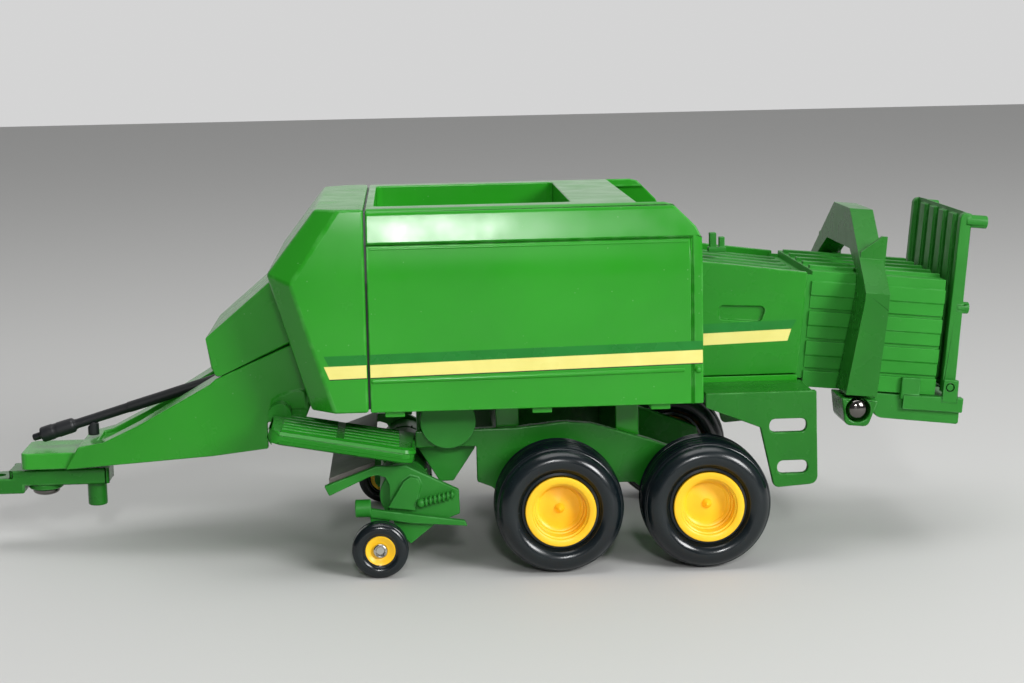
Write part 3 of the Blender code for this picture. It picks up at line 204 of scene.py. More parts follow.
# %% Softboxes
SOFTBOXES = {  # place, target, width, height and power
    "front_softbox": ((0.0, 1.2, 0.54), (0, 0, 0.06), 0.09, 0.11, 4.2),
    "low_softbox": ((-0.04, 1.2, 0.25), (0, 0, 0.07), 0.26, 0.15, 0.22),
    "side_softbox": ((-0.85, 0.95, 0.62), (0, 0, 0.04), 0.45, 0.45, 15.0),
    "overhead_softbox": ((-0.05, 0.15, 0.95), (0, 0, 0), 0.8, 0.5, 4.0),
}
for name, (place, target, width, height, power) in SOFTBOXES.items():
    light_data = bpy.data.lights.new(name, "AREA")
    light_data.shape = "RECTANGLE"
    light_data.size = width
    light_data.size_y = height
    light_data.energy = power
    light = link_object(name, light_data)
    light.location = place
    aim = Vector(target) - Vector(place)
    light.rotation_euler = aim.to_track_quat("-Z", "Y").to_euler()
print(len(SOFTBOXES), "softboxes")

# %% [markdown]
# ## Shared surface effects
#
# Three effects turn up in several finishes, so each is one node group with named sockets:
# the fine relief of paint or moulded plastic, the specks of dust that settle on a toy, and the
# worn, slightly paler edges. A group gives out only masks, colours and heights, and each
# material keeps its own shader.


# %% Node group helpers
def new_group(name, inputs, outputs):
    tree = bpy.data.node_groups.new(name, "ShaderNodeTree")
    for label, kind, value in inputs:
        socket = tree.interface.new_socket(label, in_out="INPUT", socket_type=kind)
        socket.default_value = value
    for label, kind in outputs:
        tree.interface.new_socket(label, in_out="OUTPUT", socket_type=kind)
    return tree, tree.nodes.new("NodeGroupInput"), tree.nodes.new("NodeGroupOutput")


def noise(tree, vector, scale, detail):
    node = add(tree, "ShaderNodeTexNoise", Vector=vector, Scale=scale, Detail=detail)
    return node.outputs["Fac"]


# %% Relief, dust and edge wear groups
FLOAT = "NodeSocketFloat"
SPECK_EDGE, SPECK_PATCH_SCALE, SPECK_PATCHES = (0.16, 0.05), 430, (0.60, 0.66)
FILM_SCALE, FILM_PATCHES, FILM_SHARE, UPWARD = 45, (0.42, 0.75), 0.22, (-0.4, 0.9)
RUBBED = (0.42, 0.68)


def make_relief_group():
    """Orange peel in paint, or the grain of a mould, at two scales."""
    tree, inlet, outlet = new_group(
        "surface_relief", [("Wave Scale", FLOAT, 60), ("Grain Scale", FLOAT, 900),
                           ("Grain Share", FLOAT, 0.3)], [("Height", FLOAT)])
    place = tree.nodes.new("ShaderNodeTexCoord").outputs["Object"]
    waves = noise(tree, place, inlet.outputs["Wave Scale"], 2)
    grain = noise(tree, place, inlet.outputs["Grain Scale"], 3)
    fine = math_node(tree, "MULTIPLY", grain, inlet.outputs["Grain Share"])
    tree.links.new(math_node(tree, "ADD", waves, fine), outlet.inputs["Height"])
    return tree


def make_dust_group():
    """Specks of dust, thicker where a face looks up."""
    tree, inlet, outlet = new_group(
        "settled_dust", [("Amount", FLOAT, 0.2), ("Speck Scale", FLOAT, 700)],
        [("Mask", FLOAT)])
    place = tree.nodes.new("ShaderNodeTexCoord").outputs["Object"]
    specks = add(tree, "ShaderNodeTexVoronoi", Vector=place, Scale=inlet.outputs["Speck Scale"])
    near = ranged(tree, specks.outputs["Distance"], SPECK_EDGE)
    some = ranged(tree, noise(tree, specks.outputs["Position"], SPECK_PATCH_SCALE, 1),
                  SPECK_PATCHES)
    normal = tree.nodes.new("ShaderNodeNewGeometry").outputs["Normal"]
    parts = add(tree, "ShaderNodeSeparateXYZ", Vector=normal)
    upward = ranged(tree, parts.outputs["Z"], UPWARD)
    spotted = math_node(tree, "MULTIPLY", near, some)
    cloudy = ranged(tree, noise(tree, place, FILM_SCALE, 4), FILM_PATCHES)
    film = math_node(tree, "MULTIPLY", cloudy, FILM_SHARE)
    both = math_node(tree, "ADD", spotted, math_node(tree, "MULTIPLY", film, upward))
    amount = math_node(tree, "MULTIPLY", both, inlet.outputs["Amount"], clamp=True)
    tree.links.new(amount, outlet.inputs["Mask"])
    return tree


def make_wear_group():
    """Where an edge is rubbed: the piece's own edge attribute, broken up by noise."""
    tree, inlet, outlet = new_group(
        "edge_wear", [("Amount", FLOAT, 0.5), ("Patch Scale", FLOAT, 260)], [("Mask", FLOAT)])
    place = tree.nodes.new("ShaderNodeTexCoord").outputs["Object"]
    edge = tree.nodes.new("ShaderNodeAttribute")
    edge.attribute_name = "edge"
    patches = ranged(tree, noise(tree, place, inlet.outputs["Patch Scale"], 4), RUBBED)
    rubbed = math_node(tree, "MULTIPLY", edge.outputs["Fac"], patches)
    mask = math_node(tree, "MULTIPLY", rubbed, inlet.outputs["Amount"], clamp=True)
    tree.links.new(mask, outlet.inputs["Mask"])
    return tree


RELIEF = make_relief_group()
DUST = make_dust_group()
WEAR = make_wear_group()

# %% [markdown]
# ## Finishes
#
# Each finish mixes its own colours by the shared masks and noise, and bends its roughness the
# same way, so that light breaks up over it as it does over the real material. What is the same
# all over, such as the clear coat or the index of refraction, is set on the shader itself.


# %% Finish builder
PATCH_EDGE = (0.30, 0.72)
GLOSS_SCALE, GLOSS_NOISE = 120, (0.3, 0.7)
DUST_ROUGHNESS, COAT_ROUGHNESS = 0.4, 0.13


def place_group(tree, group, **values):
    node = tree.nodes.new("ShaderNodeGroup")
    node.node_tree = group
    for label, value in values.items():
        node.inputs[label.replace("_", " ").title()].default_value = value
    return node


def mix_colour(tree, mask, below, above):
    node = tree.nodes.new("ShaderNodeMix")
    node.data_type = "RGBA"
    put(tree, node.inputs["Factor"], mask)
    for label, value in (("A", below), ("B", above)):
        linked = isinstance(value, bpy.types.NodeSocket)
        put(tree, node.inputs[label], value if linked else (*value, 1))
    return node.outputs["Result"]


def finish(name, colour, deep, dusty, roughness, spread, relief, bump, wear=0.0, pale=None,
           dust=0.25, metallic=0.0, coat=0.0, patch=28, shine=0.4):
    """A finish: colour and its deeper patches, dust, worn edges, uneven gloss and fine relief."""
    material = bpy.data.materials.new(name)
    material.use_nodes = True
    tree = material.node_tree
    shader = tree.nodes["Principled BSDF"]
    place = tree.nodes.new("ShaderNodeTexCoord").outputs["Object"]
    patches = noise(tree, place, patch, 3)
    base = mix_colour(tree, ranged(tree, patches, PATCH_EDGE), deep, colour)
    if wear:
        edge = place_group(tree, WEAR, amount=wear)
        base = mix_colour(tree, edge.outputs["Mask"], base, pale)
    specks = place_group(tree, DUST, amount=dust)
    base = mix_colour(tree, specks.outputs["Mask"], base, dusty)
    tree.links.new(base, shader.inputs["Base Color"])
    gloss = ranged(tree, noise(tree, place, GLOSS_SCALE, 4), GLOSS_NOISE,
                   (roughness - spread, roughness + spread), smooth=False)
    dulled = math_node(tree, "MULTIPLY", specks.outputs["Mask"], DUST_ROUGHNESS)
    tree.links.new(math_node(tree, "ADD", gloss, dulled, clamp=True), shader.inputs["Roughness"])
    surface = place_group(tree, RELIEF, wave_scale=relief[0], grain_scale=relief[1],
                          grain_share=relief[2])
    bumps = add(tree, "ShaderNodeBump", Strength=bump[0], Distance=bump[1] * MM,
                Height=surface.outputs["Height"])
    tree.links.new(bumps.outputs["Normal"], shader.inputs["Normal"])
    for label, value in (("Metallic", metallic), ("Specular IOR Level", shine),
                         ("Coat Weight", coat), ("Coat Roughness", COAT_ROUGHNESS)):
        shader.inputs[label].default_value = value
    return material


# %% The toy's finishes
FINISHES = {
    "green_paint": finish(
        "green_gloss_paint", (0.021, 0.290, 0.013), (0.017, 0.252, 0.011), (0.32, 0.40, 0.30),
        0.20, 0.05, (70, 1400, 0.12), (0.30, 0.05), wear=0.35, pale=(0.10, 0.42, 0.09),
        dust=0.24, coat=0.08, shine=0.3),
    "bright_green_plastic": finish(
        "green_gloss_plastic", (0.022, 0.280, 0.014), (0.018, 0.240, 0.012), (0.33, 0.40, 0.31),
        0.24, 0.05, (55, 1700, 0.20), (0.30, 0.05), wear=0.30, pale=(0.09, 0.38, 0.08),
        dust=0.22, coat=0.05, shine=0.3),
    "green_plastic": finish(
        "green_satin_plastic", (0.018, 0.205, 0.017), (0.014, 0.170, 0.014), (0.18, 0.28, 0.18),
        0.44, 0.07, (90, 2300, 0.55), (0.45, 0.06), wear=0.45, pale=(0.08, 0.30, 0.085),
        dust=0.22, patch=60, shine=0.28),
    "semi_gloss": finish(
        "green_semi_gloss_paint", (0.016, 0.240, 0.012), (0.013, 0.205, 0.010),
        (0.28, 0.36, 0.27), 0.28, 0.06, (75, 1900, 0.30), (0.35, 0.05), wear=0.40,
        pale=(0.09, 0.34, 0.08), dust=0.22, patch=40, shine=0.26),
    "casting_paint": finish(
        "green_casting_paint", (0.013, 0.165, 0.011), (0.010, 0.138, 0.009),
        (0.18, 0.27, 0.17), 0.27, 0.06, (75, 1900, 0.35), (0.35, 0.05), wear=0.45,
        pale=(0.07, 0.28, 0.065), dust=0.20, patch=45, shine=0.3),
    "satin_paint": finish(
        "green_satin_paint", (0.024, 0.265, 0.022), (0.020, 0.228, 0.018),
        (0.20, 0.30, 0.20), 0.46, 0.06, (90, 2100, 0.45), (0.40, 0.05), wear=0.40,
        pale=(0.08, 0.33, 0.08), dust=0.22, patch=50, shine=0.22),
    "yellow_plastic": finish(
        "yellow_plastic", (0.980, 0.610, 0.022), (0.940, 0.520, 0.014), (0.85, 0.68, 0.30),
        0.36, 0.06, (110, 2600, 0.50), (0.30, 0.05), wear=0.25, pale=(0.98, 0.66, 0.10),
        dust=0.18, patch=90),
    "tyre_rubber": finish(
        "soft_tyre_vinyl", (0.004, 0.009, 0.011), (0.003, 0.006, 0.008), (0.06, 0.075, 0.075),
        0.22, 0.05, (140, 2800, 0.45), (0.30, 0.04), dust=0.22, patch=120, shine=0.5),
    "black_plastic": finish(
        "black_moulded_plastic", (0.012, 0.013, 0.016), (0.008, 0.009, 0.010),
        (0.12, 0.12, 0.12), 0.42, 0.07, (150, 2600, 0.6), (0.45, 0.06), wear=0.4,
        pale=(0.06, 0.06, 0.06), dust=0.30),
    "bright_steel": finish(
        "bright_pressed_steel", (0.62, 0.61, 0.58), (0.50, 0.49, 0.46), (0.40, 0.38, 0.34),
        0.22, 0.08, (300, 3500, 0.7), (0.35, 0.04), dust=0.30, metallic=1.0),
    # Painted shade: bright steel darkened to stand in for the shade on the half-hidden rivets.
    "steel_darkened_as_shade": finish(
        "steel_with_painted_shade", (0.16, 0.15, 0.14), (0.10, 0.095, 0.09), (0.20, 0.18, 0.16),
        0.16, 0.06, (300, 3500, 0.7), (0.35, 0.04), dust=0.25, metallic=1.0),
    "grey_plastic": finish(
        "grey_guard_plastic", (0.150, 0.135, 0.125), (0.115, 0.103, 0.096), (0.28, 0.27, 0.25),
        0.48, 0.06, (120, 2400, 0.6), (0.40, 0.06), wear=0.3, pale=(0.30, 0.28, 0.26),
        dust=0.30),
    "yellow_print": finish(
        "pale_yellow_print", (0.800, 0.735, 0.225), (0.760, 0.690, 0.195), (0.76, 0.74, 0.52),
        0.30, 0.05, (240, 3200, 0.4), (0.20, 0.02), dust=0.14, patch=150, shine=0.3),
    "green_print": finish(
        "deep_green_print", (0.012, 0.200, 0.024), (0.010, 0.176, 0.020), (0.20, 0.30, 0.21),
        0.26, 0.05, (240, 3200, 0.4), (0.20, 0.02), dust=0.10, patch=150, shine=0.25),
    "black_print": finish(
        "black_print", (0.010, 0.012, 0.010), (0.007, 0.008, 0.007), (0.10, 0.10, 0.10),
        0.32, 0.05, (240, 3200, 0.4), (0.20, 0.02), dust=0.18, patch=150),
}
print(len(FINISHES), "finishes")

# %% [markdown]
# ## Soft edges
#
# A casting has no sharp edge: the mould is slightly round there, and paint builds up on it. A
# finished piece is a copy of its CAD node, with the flat faces made whole again, its longer
# edges bevelled, and its normals weighted so that flats stay flat and the edges catch the
# light. The new faces carry an attribute, edge, that the wear group reads.


# %% Mesh helpers
MERGE = 1e-6
SHARP = math.radians(26)
FLAT = 0.8  # degrees between faces that are taken as one
FLATTER = {"tension_yoke": 0.05}
SHADE_ANGLE, NORMAL_WEIGHT = 42, 60


def mesh_of(shape, name):
    mesh = bpy.data.meshes.new(name)
    shape.normal_update()
    shape.to_mesh(mesh)
    shape.free()
    return mesh


def whole_faces(shape, angle=FLAT):
    """Merges a triangle mesh's points and joins its coplanar faces, split where concave."""
    bmesh.ops.remove_doubles(shape, verts=shape.verts, dist=MERGE)
    bmesh.ops.dissolve_limit(shape, angle_limit=math.radians(angle), verts=shape.verts,
                             edges=shape.edges)
    bmesh.ops.connect_verts_concave(shape, faces=shape.faces)


def broad_edges(shape, chooser, width, steps):
    """Rounds the chosen edges more than the rest."""
    chosen = [edge for edge in shape.edges
              if edge.calc_face_angle(0) > SHARP and chooser(*[v.co / MM for v in edge.verts])]
    bmesh.ops.bevel(shape, geom=chosen, offset=width * MM, offset_type="OFFSET",
                    segments=steps, profile=0.5, affect="EDGES", clamp_overlap=False)


def soften(shape, width, steps, shortest=1.6):
    """Bevels the sharp edges that are long enough for it, and marks the new faces."""
    if "edge" not in shape.faces.layers.float:
        shape.faces.layers.float.new("edge")
    chosen = [edge for edge in shape.edges
              if len(edge.link_faces) == 2 and edge.calc_face_angle(0) > SHARP
              and edge.calc_length() > shortest * width]
    made = bmesh.ops.bevel(shape, geom=chosen, offset=width, offset_type="OFFSET",
                           segments=steps, profile=0.5, affect="EDGES", clamp_overlap=False)
    layer = shape.faces.layers.float["edge"]
    for face in made["faces"]:
        face[layer] = 1.0


def evaluated_mesh(thing, name):
    bpy.context.view_layer.update()
    graph = bpy.context.evaluated_depsgraph_get()
    mesh = bpy.data.meshes.new_from_object(thing.evaluated_get(graph))
    mesh.name = name
    return mesh


def smooth_mesh(mesh, name, angle):
    """Shades a mesh smooth, with its normals weighted by the size of its faces."""
    mesh.shade_smooth()
    mesh.set_sharp_from_angle(angle=math.radians(angle))
    holder = link_object("holder", mesh)
    weighted = holder.modifiers.new("weighted", "WEIGHTED_NORMAL")
    weighted.keep_sharp = True
    weighted.weight = NORMAL_WEIGHT
    made = evaluated_mesh(holder, name)
    bpy.data.objects.remove(holder)
    return made


def new_piece(name, mesh, finish_name, body, replaced=(), angle=None):
    """Adds a piece that rides a body; an angle shades it smooth up to that angle."""
    if angle:
        mesh = smooth_mesh(mesh, name, angle)
    mesh.materials.clear()
    mesh.materials.append(FINISHES[finish_name])
    made = link_object(name, mesh)
    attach(made, body)
    if replaced:
        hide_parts(*replaced)
    print(name, len(mesh.polygons), "faces")


def carve(mesh, changes):
    """Cuts meshes out of another, or joins them on, and gives the new mesh."""
    holder = link_object("holder", mesh)
    tools = []
    for operation, tool_mesh in changes:
        tool = link_object("tool", tool_mesh)
        change = holder.modifiers.new(operation.lower(), "BOOLEAN")
        change.operation = operation
        change.object = tool
        tools.append(tool)
    made = evaluated_mesh(holder, mesh.name)
    for thing in (holder, *tools):
        bpy.data.objects.remove(thing)
    return made


def finished(node, width, steps=2, changes=(), finish_name=None, broad=None):
    """The finished piece that stands for a CAD node."""
    shape = bmesh.new()
    shape.from_mesh(frame["nodes"][node].data)
    whole_faces(shape, FLATTER.get(node, FLAT))
    if changes:
        carved = carve(mesh_of(shape, node), changes)
        shape = bmesh.new()
        shape.from_mesh(carved)
        whole_faces(shape)
    if broad:
        broad_edges(shape, *broad)
    soften(shape, width * MM, steps)
    name = f"{node}_finished"
    new_piece(name, mesh_of(shape, name), finish_name or SLOT_OF[node], body_of(node), [node],
              SHADE_ANGLE)


# %% Shape helpers
CAP_RINGS = [(-0.95, 0.30), (-0.7, 0.70), (-0.3, 0.95)]  # a bar's domed end, in radii
POINT = 1e-4  # a radius under this is a point on the axis


def prism(across, low, high, outline):
    """A flat outline in millimetres, made solid between two places along an axis.

    Along Y the outline is stations and heights, along X distances across and heights, and
    along Z stations and distances across.
    """
    shape = bmesh.new()
    rings = []
    for reach in (low, high):
        ring = []
        for a, b in outline:
            point = {"y": (a, reach, b), "x": (reach, a, b), "z": (a, b, reach)}[across]
            ring.append(shape.verts.new(at(*point)))
        rings.append(ring)
    shape.faces.new(rings[0])
    shape.faces.new(reversed(rings[1]))
    count = len(outline)
    for i in range(count):
        j = (i + 1) % count
        shape.faces.new((rings[0][j], rings[0][i], rings[1][i], rings[1][j]))
    bmesh.ops.recalc_face_normals(shape, faces=shape.faces)
    return mesh_of(shape, "prism")


def block(x, y, z):
    return prism("y", y[0], y[1], [(x[0], z[0]), (x[1], z[0]), (x[1], z[1]), (x[0], z[1])])


def bar(points, radius, sides=12, squash=1.0):
    """A round bar through points, with domed ends; squash flattens it across the toy."""
    shape = bmesh.new()
    rings = []
    places = [at(*point) for point in points]
    along = (places[-1] - places[0]).normalized()
    helper = Vector((0, 1, 0)) if abs(along.y) < 0.9 else Vector((1, 0, 0))
    side = along.cross(helper).normalized()
    out = side.cross(along).normalized()
    stops = [(places[0] + along * radius * MM * (1 + back), share) for back, share in CAP_RINGS]
    stops += [(place, 1.0) for place in places[1:-1]]
    stops += [(places[-1] - along * radius * MM * (1 + back), share)
              for back, share in reversed(CAP_RINGS)]
    for centre, share in stops:
        ring = []
        for index in range(sides):
            angle = 2 * math.pi * index / sides
            offset = side * math.cos(angle) + out * math.sin(angle) * squash
            ring.append(shape.verts.new(centre + offset * radius * MM * share))
        rings.append(ring)
    for first, second in zip(rings, rings[1:]):
        for i in range(sides):
            j = (i + 1) % sides
            shape.faces.new((first[i], first[j], second[j], second[i]))
    shape.faces.new(rings[0])
    shape.faces.new(rings[-1])
    bmesh.ops.recalc_face_normals(shape, faces=shape.faces)
    return mesh_of(shape, "bar")


def turned(profile, centre, axis="y", side=1, steps=96):
    """A closed profile of (radius, place along the axis) in millimetres, turned about it."""
    shape = bmesh.new()
    rings = []
    for radius, along in profile:
        if radius < POINT:
            local = Vector((0, along * side, 0)) if axis == "y" else Vector((0, 0, along))
            rings.append([shape.verts.new(centre + local * MM)])
            continue
        ring = []
        for index in range(steps):
            angle = 2 * math.pi * index / steps
            a, b = radius * math.cos(angle), radius * math.sin(angle)
            local = Vector((a, along * side, b)) if axis == "y" else Vector((a, b, along))
            ring.append(shape.verts.new(centre + local * MM))
        rings.append(ring)
    closed = profile[0][0] > POINT and profile[-1][0] > POINT
    pairs = list(zip(rings, rings[1:])) + ([(rings[-1], rings[0])] if closed else [])
    for first, second in pairs:
        for i in range(steps):
            j = (i + 1) % steps
            corners = [first[i % len(first)], first[j % len(first)],
                       second[j % len(second)], second[i % len(second)]]
            shape.faces.new(list(dict.fromkeys(corners)))
    bmesh.ops.recalc_face_normals(shape, faces=shape.faces)
    return mesh_of(shape, "turned")


def joined(meshes, name):
    """Several meshes as one, none of which needs to touch another."""
    shape = bmesh.new()
    for mesh in meshes:
        shape.from_mesh(mesh)
    return mesh_of(shape, name)


# %% [markdown]
# ## Castings that only need their edges
#
# Most of the castings already have their right shape in CAD. Each gets a bevel of its own
# width: broad on the big hood panels, fine on small brackets.

# %% Plain castings
EDGE_WIDTHS = {
    "front_cap": (0.75, 3), "nose_shield": (0.6, 3), "drawbar": (0.5, 3),
    "base_plate": (0.3, 2), "feeder_housing": (0.35, 2), "housing_deck": (0.25, 2),
    "housing_floor": (0.25, 2), "needle_stop": (0.22, 2), "bale_chamber": (0.14, 2),
    "tension_yoke": (0.12, 2), "chute_sill": (0.3, 2), "chute": (0.28, 2),
    "wind_guard": (0.3, 2), "pickup_skid": (0.25, 2),
    "side_beam": (0.4, 3), "flywheel_guard": (0.3, 2), "ladder": (0.32, 3),
    "yoke_bracket": (0.35, 3), "pickup_side": (0.35, 3), "gauge_arm": (0.3, 3),
}
SHEEN = {"bale_chamber": "satin_paint", "ladder": "casting_paint", "drawbar": "casting_paint",
         "tension_yoke": "casting_paint", "side_beam": "casting_paint",
         "yoke_bracket": "casting_paint"}
for family, (width, steps) in EDGE_WIDTHS.items():
    for node in [name for name in frame["nodes"] if name == family
                 or name in (f"{family}_left", f"{family}_right")]:
        finished(node, width, steps, finish_name=SHEEN.get(family))

# %% [markdown]
# ## The hood
#
# The big hood is one shell with a sunken roof. Its side shows a band along the top that
# overhangs the panel below, a bead under it, an upright groove near the rear edge, and a long
# half-round rib under the stripe that ends in a small knob. The grooves are cut from the copy
# before its edges are rounded, and the beads and the rib are bars sunk half into the side.

# %% Hood grooves
HOOD_FRONT, HOOD_FOOT = 47.0, 42
HOOD_HALF, CREASE_Z = 43.0, 75.5
BAND_HALF, BAND_Z = 41.6, 85.0
GROOVE = 0.42
GROOVE_DEPTH = 0.4
REAR_GROOVE_X = -34.0
ROOF_EDGE_Y, ROOF_EDGE_Z = 39.3, 93.3


def hood_grooves():
    cuts = []
    for side in (1, -1):
        near, far = sorted((side * (BAND_HALF - GROOVE_DEPTH), side * (HOOD_HALF + 1)))
        cuts.append(block((REAR_GROOVE_X - GROOVE / 2, HOOD_FRONT + 1), (near, far),
                          (BAND_Z - GROOVE, BAND_Z)))
        groove_y, clear_y = side * (HOOD_HALF - GROOVE_DEPTH), side * (HOOD_HALF + 1)
        upright = [(groove_y, HOOD_FOOT), (groove_y, CREASE_Z),
                   (side * (BAND_HALF - GROOVE_DEPTH), BAND_Z - GROOVE / 2),
                   (clear_y, BAND_Z - GROOVE / 2), (clear_y, HOOD_FOOT)]
        cuts.append(prism("x", REAR_GROOVE_X - GROOVE / 2, REAR_GROOVE_X + GROOVE / 2, upright))
    return [("DIFFERENCE", mesh) for mesh in cuts]


def roof_side(first, second):
    """Whether an edge runs along the outer top of the roof."""
    return all(point.z > ROOF_EDGE_Z and abs(point.y) > ROOF_EDGE_Y
               for point in (first, second))


finished("main_hood", 0.42, 3, hood_grooves(), broad=(roof_side, 1.0, 4))

# %% Hood beads and rib
RIB_FRONT, RIB_MIDDLE, RIB_REAR = (46.6, 50.8), (0, 51.2), (-32.1, 51.6)
RIB_RADIUS, BEAD_RADIUS = 0.62, 0.3
BEAD_STATIONS, BEAD_DROP, BEAD_SINK = (46.2, 0, -33.2), 1.25, 0.02
KNOB_X, KNOB_Z = -35.4, 51.5
KNOB = [(0, 0.75), (0.45, 0.68), (0.8, 0.42), (0.95, 0), (0.9, -0.4), (0, -0.4)]


def on_side(height):
    """The hood side's distance from the middle at a height above the crease."""
    share = max(0.0, (height - CREASE_Z) / (BAND_Z - CREASE_Z))
    return HOOD_HALF + (BAND_HALF - HOOD_HALF) * share


for word, side in SIDES:
    face = side * HOOD_HALF
    bead_z = BAND_Z - BEAD_DROP
    bead_y = side * (on_side(bead_z) - BEAD_SINK)
    rib_line = [(station, face, height) for station, height in (RIB_FRONT, RIB_MIDDLE, RIB_REAR)]
    meshes = [
        bar(rib_line, RIB_RADIUS, 16, 0.9),
        bar([(station, bead_y, bead_z) for station in BEAD_STATIONS], BEAD_RADIUS, 10, 0.8),
        turned(KNOB, at(KNOB_X, face, KNOB_Z), "y", side, 32),
    ]
    new_piece(f"hood_beads_{word}", joined(meshes, "beads"), "green_paint", "baler", angle=60)

# %% [markdown]
# ## Seams
#
# The pieces of the toy are assembled with small clearances. A thin black strip behind the seam of
# the
# cap and the hood is painted shadow: it makes the seam dark where the real toy is only in shade
# there, and closes it off from the hollow inside. A green strip lies behind the joint of the rear
# housing and the chamber, so that joint isn't open to the hollow inside either.

# %% Painted shadow behind the seam between the cap and the hood
SEAM_SHADOW_REACH = (46.7, 47.8)
seam_shadow_outer = [(-42.1, 43.6), (-42.1, 75.3), (-40.7, 84.8), (-38.9, 92.6)]
seam_shadow_inner = [(-41.6, 43.6), (-41.6, 75.2), (-40.2, 84.6), (-38.5, 92.1)]
seam_shadow_ring = seam_shadow_outer + [(-y, z) for y, z in reversed(seam_shadow_outer)]
seam_shadow_ring += [(-y, z) for y, z in seam_shadow_inner]
seam_shadow_ring += list(reversed(seam_shadow_inner))
# A black sheet in the seam: painted shadow, standing in for the shade down in the gap.
new_piece("seam_painted_shadow", prism("x", *SEAM_SHADOW_REACH, seam_shadow_ring), "black_plastic", "baler")

# %% Behind the joint between the rear housing and the chamber
JOINT = [(-63.0, 45.4), (-65.6, 72.5), (-68.6, 72.2), (-66.0, 45.1)]
JOINT_INNER, JOINT_OUTER = 23.5, 24.3
JOINT_BRIDGE = ((-68.3, -65.0), (-23.8, 23.8), (69.6, 71.5))
joint_strips = [prism("y", *sorted((side * JOINT_INNER, side * JOINT_OUTER)), JOINT)
                for _, side in SIDES]
joint_strips.append(block(*JOINT_BRIDGE))
new_piece("chamber_joint", joined(joint_strips, "chamber_joint"), "satin_paint", "baler")

# %% [markdown]
# ## Printed stripes
#
# A pale yellow stripe runs along each side, with a band of deeper green above it and a thin
# black line below. They are films a twentieth of a millimetre thick, cut where the panels
# meet, so they show the same step and sheen as real print on paint.

# %% Stripes
FILM, FILM_SINK, STRIPE_LIFT = 0.05, 0.02, 0.02


def film(name, outline, face, side, finish_name, lift=0.0):
    low, high = sorted((side * (face - FILM_SINK), side * (face + FILM + lift)))
    new_piece(name, prism("y", low, high, outline), finish_name, "baler")


def rise(start, end, station):
    """A height on the straight line between two (station, height) points."""
    share = (station - start[0]) / (end[0] - start[0])
    return start[1] + share * (end[1] - start[1])


STRIPE_LOW = ((57.0, 51.6), (-36.7, 53.2))
STRIPE_TOP = ((58.3, 54.8), (-36.7, 56.5))
BAND_TOP = ((59.0, 57.4), (-36.7, 58.8))
REAR_LOW = ((-36.9, 54.8), (-61.1, 55.5))
REAR_TOP = ((-36.9, 57.9), (-62.1, 58.6))
REAR_BAND_TOP = ((-36.9, 60.4), (-64.0, 61.0))
LINE = 0.22
HOOD_STRIPES = (("cap", 57.0, 47.72, 1.3), ("hood", 46.8, -36.5, 0.0))
PANEL_FRONT, STRIPE_END, BAND_END = -36.9, -61.1, -62.1


def strip(front, rear, low, top, slant_front=0.0, slant_rear=0.0):
    """The part of a band between two stations; a slant moves its end's upper corner."""
    return [(front, rise(*low, front)), (front + slant_front, rise(*top, front)),
            (rear + slant_rear, rise(*top, rear)), (rear, rise(*low, rear))]


for word, side in SIDES:
    for part, front, rear, slant in HOOD_STRIPES:
        film(f"stripe_{part}_{word}", strip(front, rear, STRIPE_LOW, STRIPE_TOP, slant),
             HOOD_HALF, side, "yellow_print", STRIPE_LIFT)
        film(f"band_{part}_{word}", strip(front, rear, STRIPE_TOP, BAND_TOP, slant),
             HOOD_HALF, side, "green_print")
        under = [(station, height - LINE) for station, height in STRIPE_LOW]
        film(f"line_{part}_{word}", strip(front - slant / 12, rear, under, STRIPE_LOW),
             HOOD_HALF, side, "black_print")
    face = outward(f"rear_panel_{word}", side)[1] / MM
    film(f"stripe_panel_{word}", strip(PANEL_FRONT, STRIPE_END, REAR_LOW, REAR_TOP, 0, -1.0),
         face, side, "yellow_print", STRIPE_LIFT)
    film(f"band_panel_{word}", strip(PANEL_FRONT, BAND_END, REAR_TOP, REAR_BAND_TOP, 0, -1.4),
         face, side, "green_print")

# %% [markdown]
# ## Ribs, coils and tines by Geometry Nodes
#
# What repeats is made by small node trees: half-round ribs across a tread, the coils of a
# moulded spring, and the tines of the pickup. Each tree has named sizes, ends in Realize
# Instances and Set Material, and is turned into a plain mesh at once.


# %% Geometry Nodes helpers
def new_tree(name, inputs):
    tree = bpy.data.node_groups.new(name, "GeometryNodeTree")
    for label, kind, value in inputs:
        socket = tree.interface.new_socket(label, in_out="INPUT", socket_type=kind)
        if value is not None:
            socket.default_value = value
    tree.interface.new_socket("Geometry", in_out="OUTPUT", socket_type="NodeSocketGeometry")
    return tree, tree.nodes.new("NodeGroupInput"), tree.nodes.new("NodeGroupOutput")


def close_tree(tree, inlet, outlet, geometry):
    """Realizes the instances, sets the finish and joins up the output."""
    real = add(tree, "GeometryNodeRealizeInstances", Geometry=geometry)
    paint = add(tree, "GeometryNodeSetMaterial", Geometry=real.outputs[0],
                Material=inlet.outputs["Finish"])
    tree.links.new(paint.outputs[0], outlet.inputs[0])


def run_tree(tree, name, values, place):
    """Runs a tree with these inputs and gives its result as a mesh, put in place."""
    empty = link_object("holder", bpy.data.meshes.new("holder"))
    modifier = empty.modifiers.new("shape", "NODES")
    modifier.node_group = tree
    for item in tree.interface.items_tree:
        if item.item_type == "SOCKET" and item.in_out == "INPUT" and item.name in values:
            modifier[item.identifier] = values[item.name]
    mesh = evaluated_mesh(empty, name)
    bpy.data.objects.remove(empty)
    mesh.transform(place)
    return mesh


# %% Node trees
LENGTH, WHOLE, STUFF = "NodeSocketFloat", "NodeSocketInt", "NodeSocketMaterial"


def round_tube(tree, curve, radius, resolution):
    """A closed tube of this radius along a curve."""
    ring = add(tree, "GeometryNodeCurvePrimitiveCircle", Resolution=resolution, Radius=radius)
    tube = add(tree, "GeometryNodeCurveToMesh", Fill_Caps=True, Curve=curve,
               Profile_Curve=ring.outputs[0])
    return tube.outputs[0]


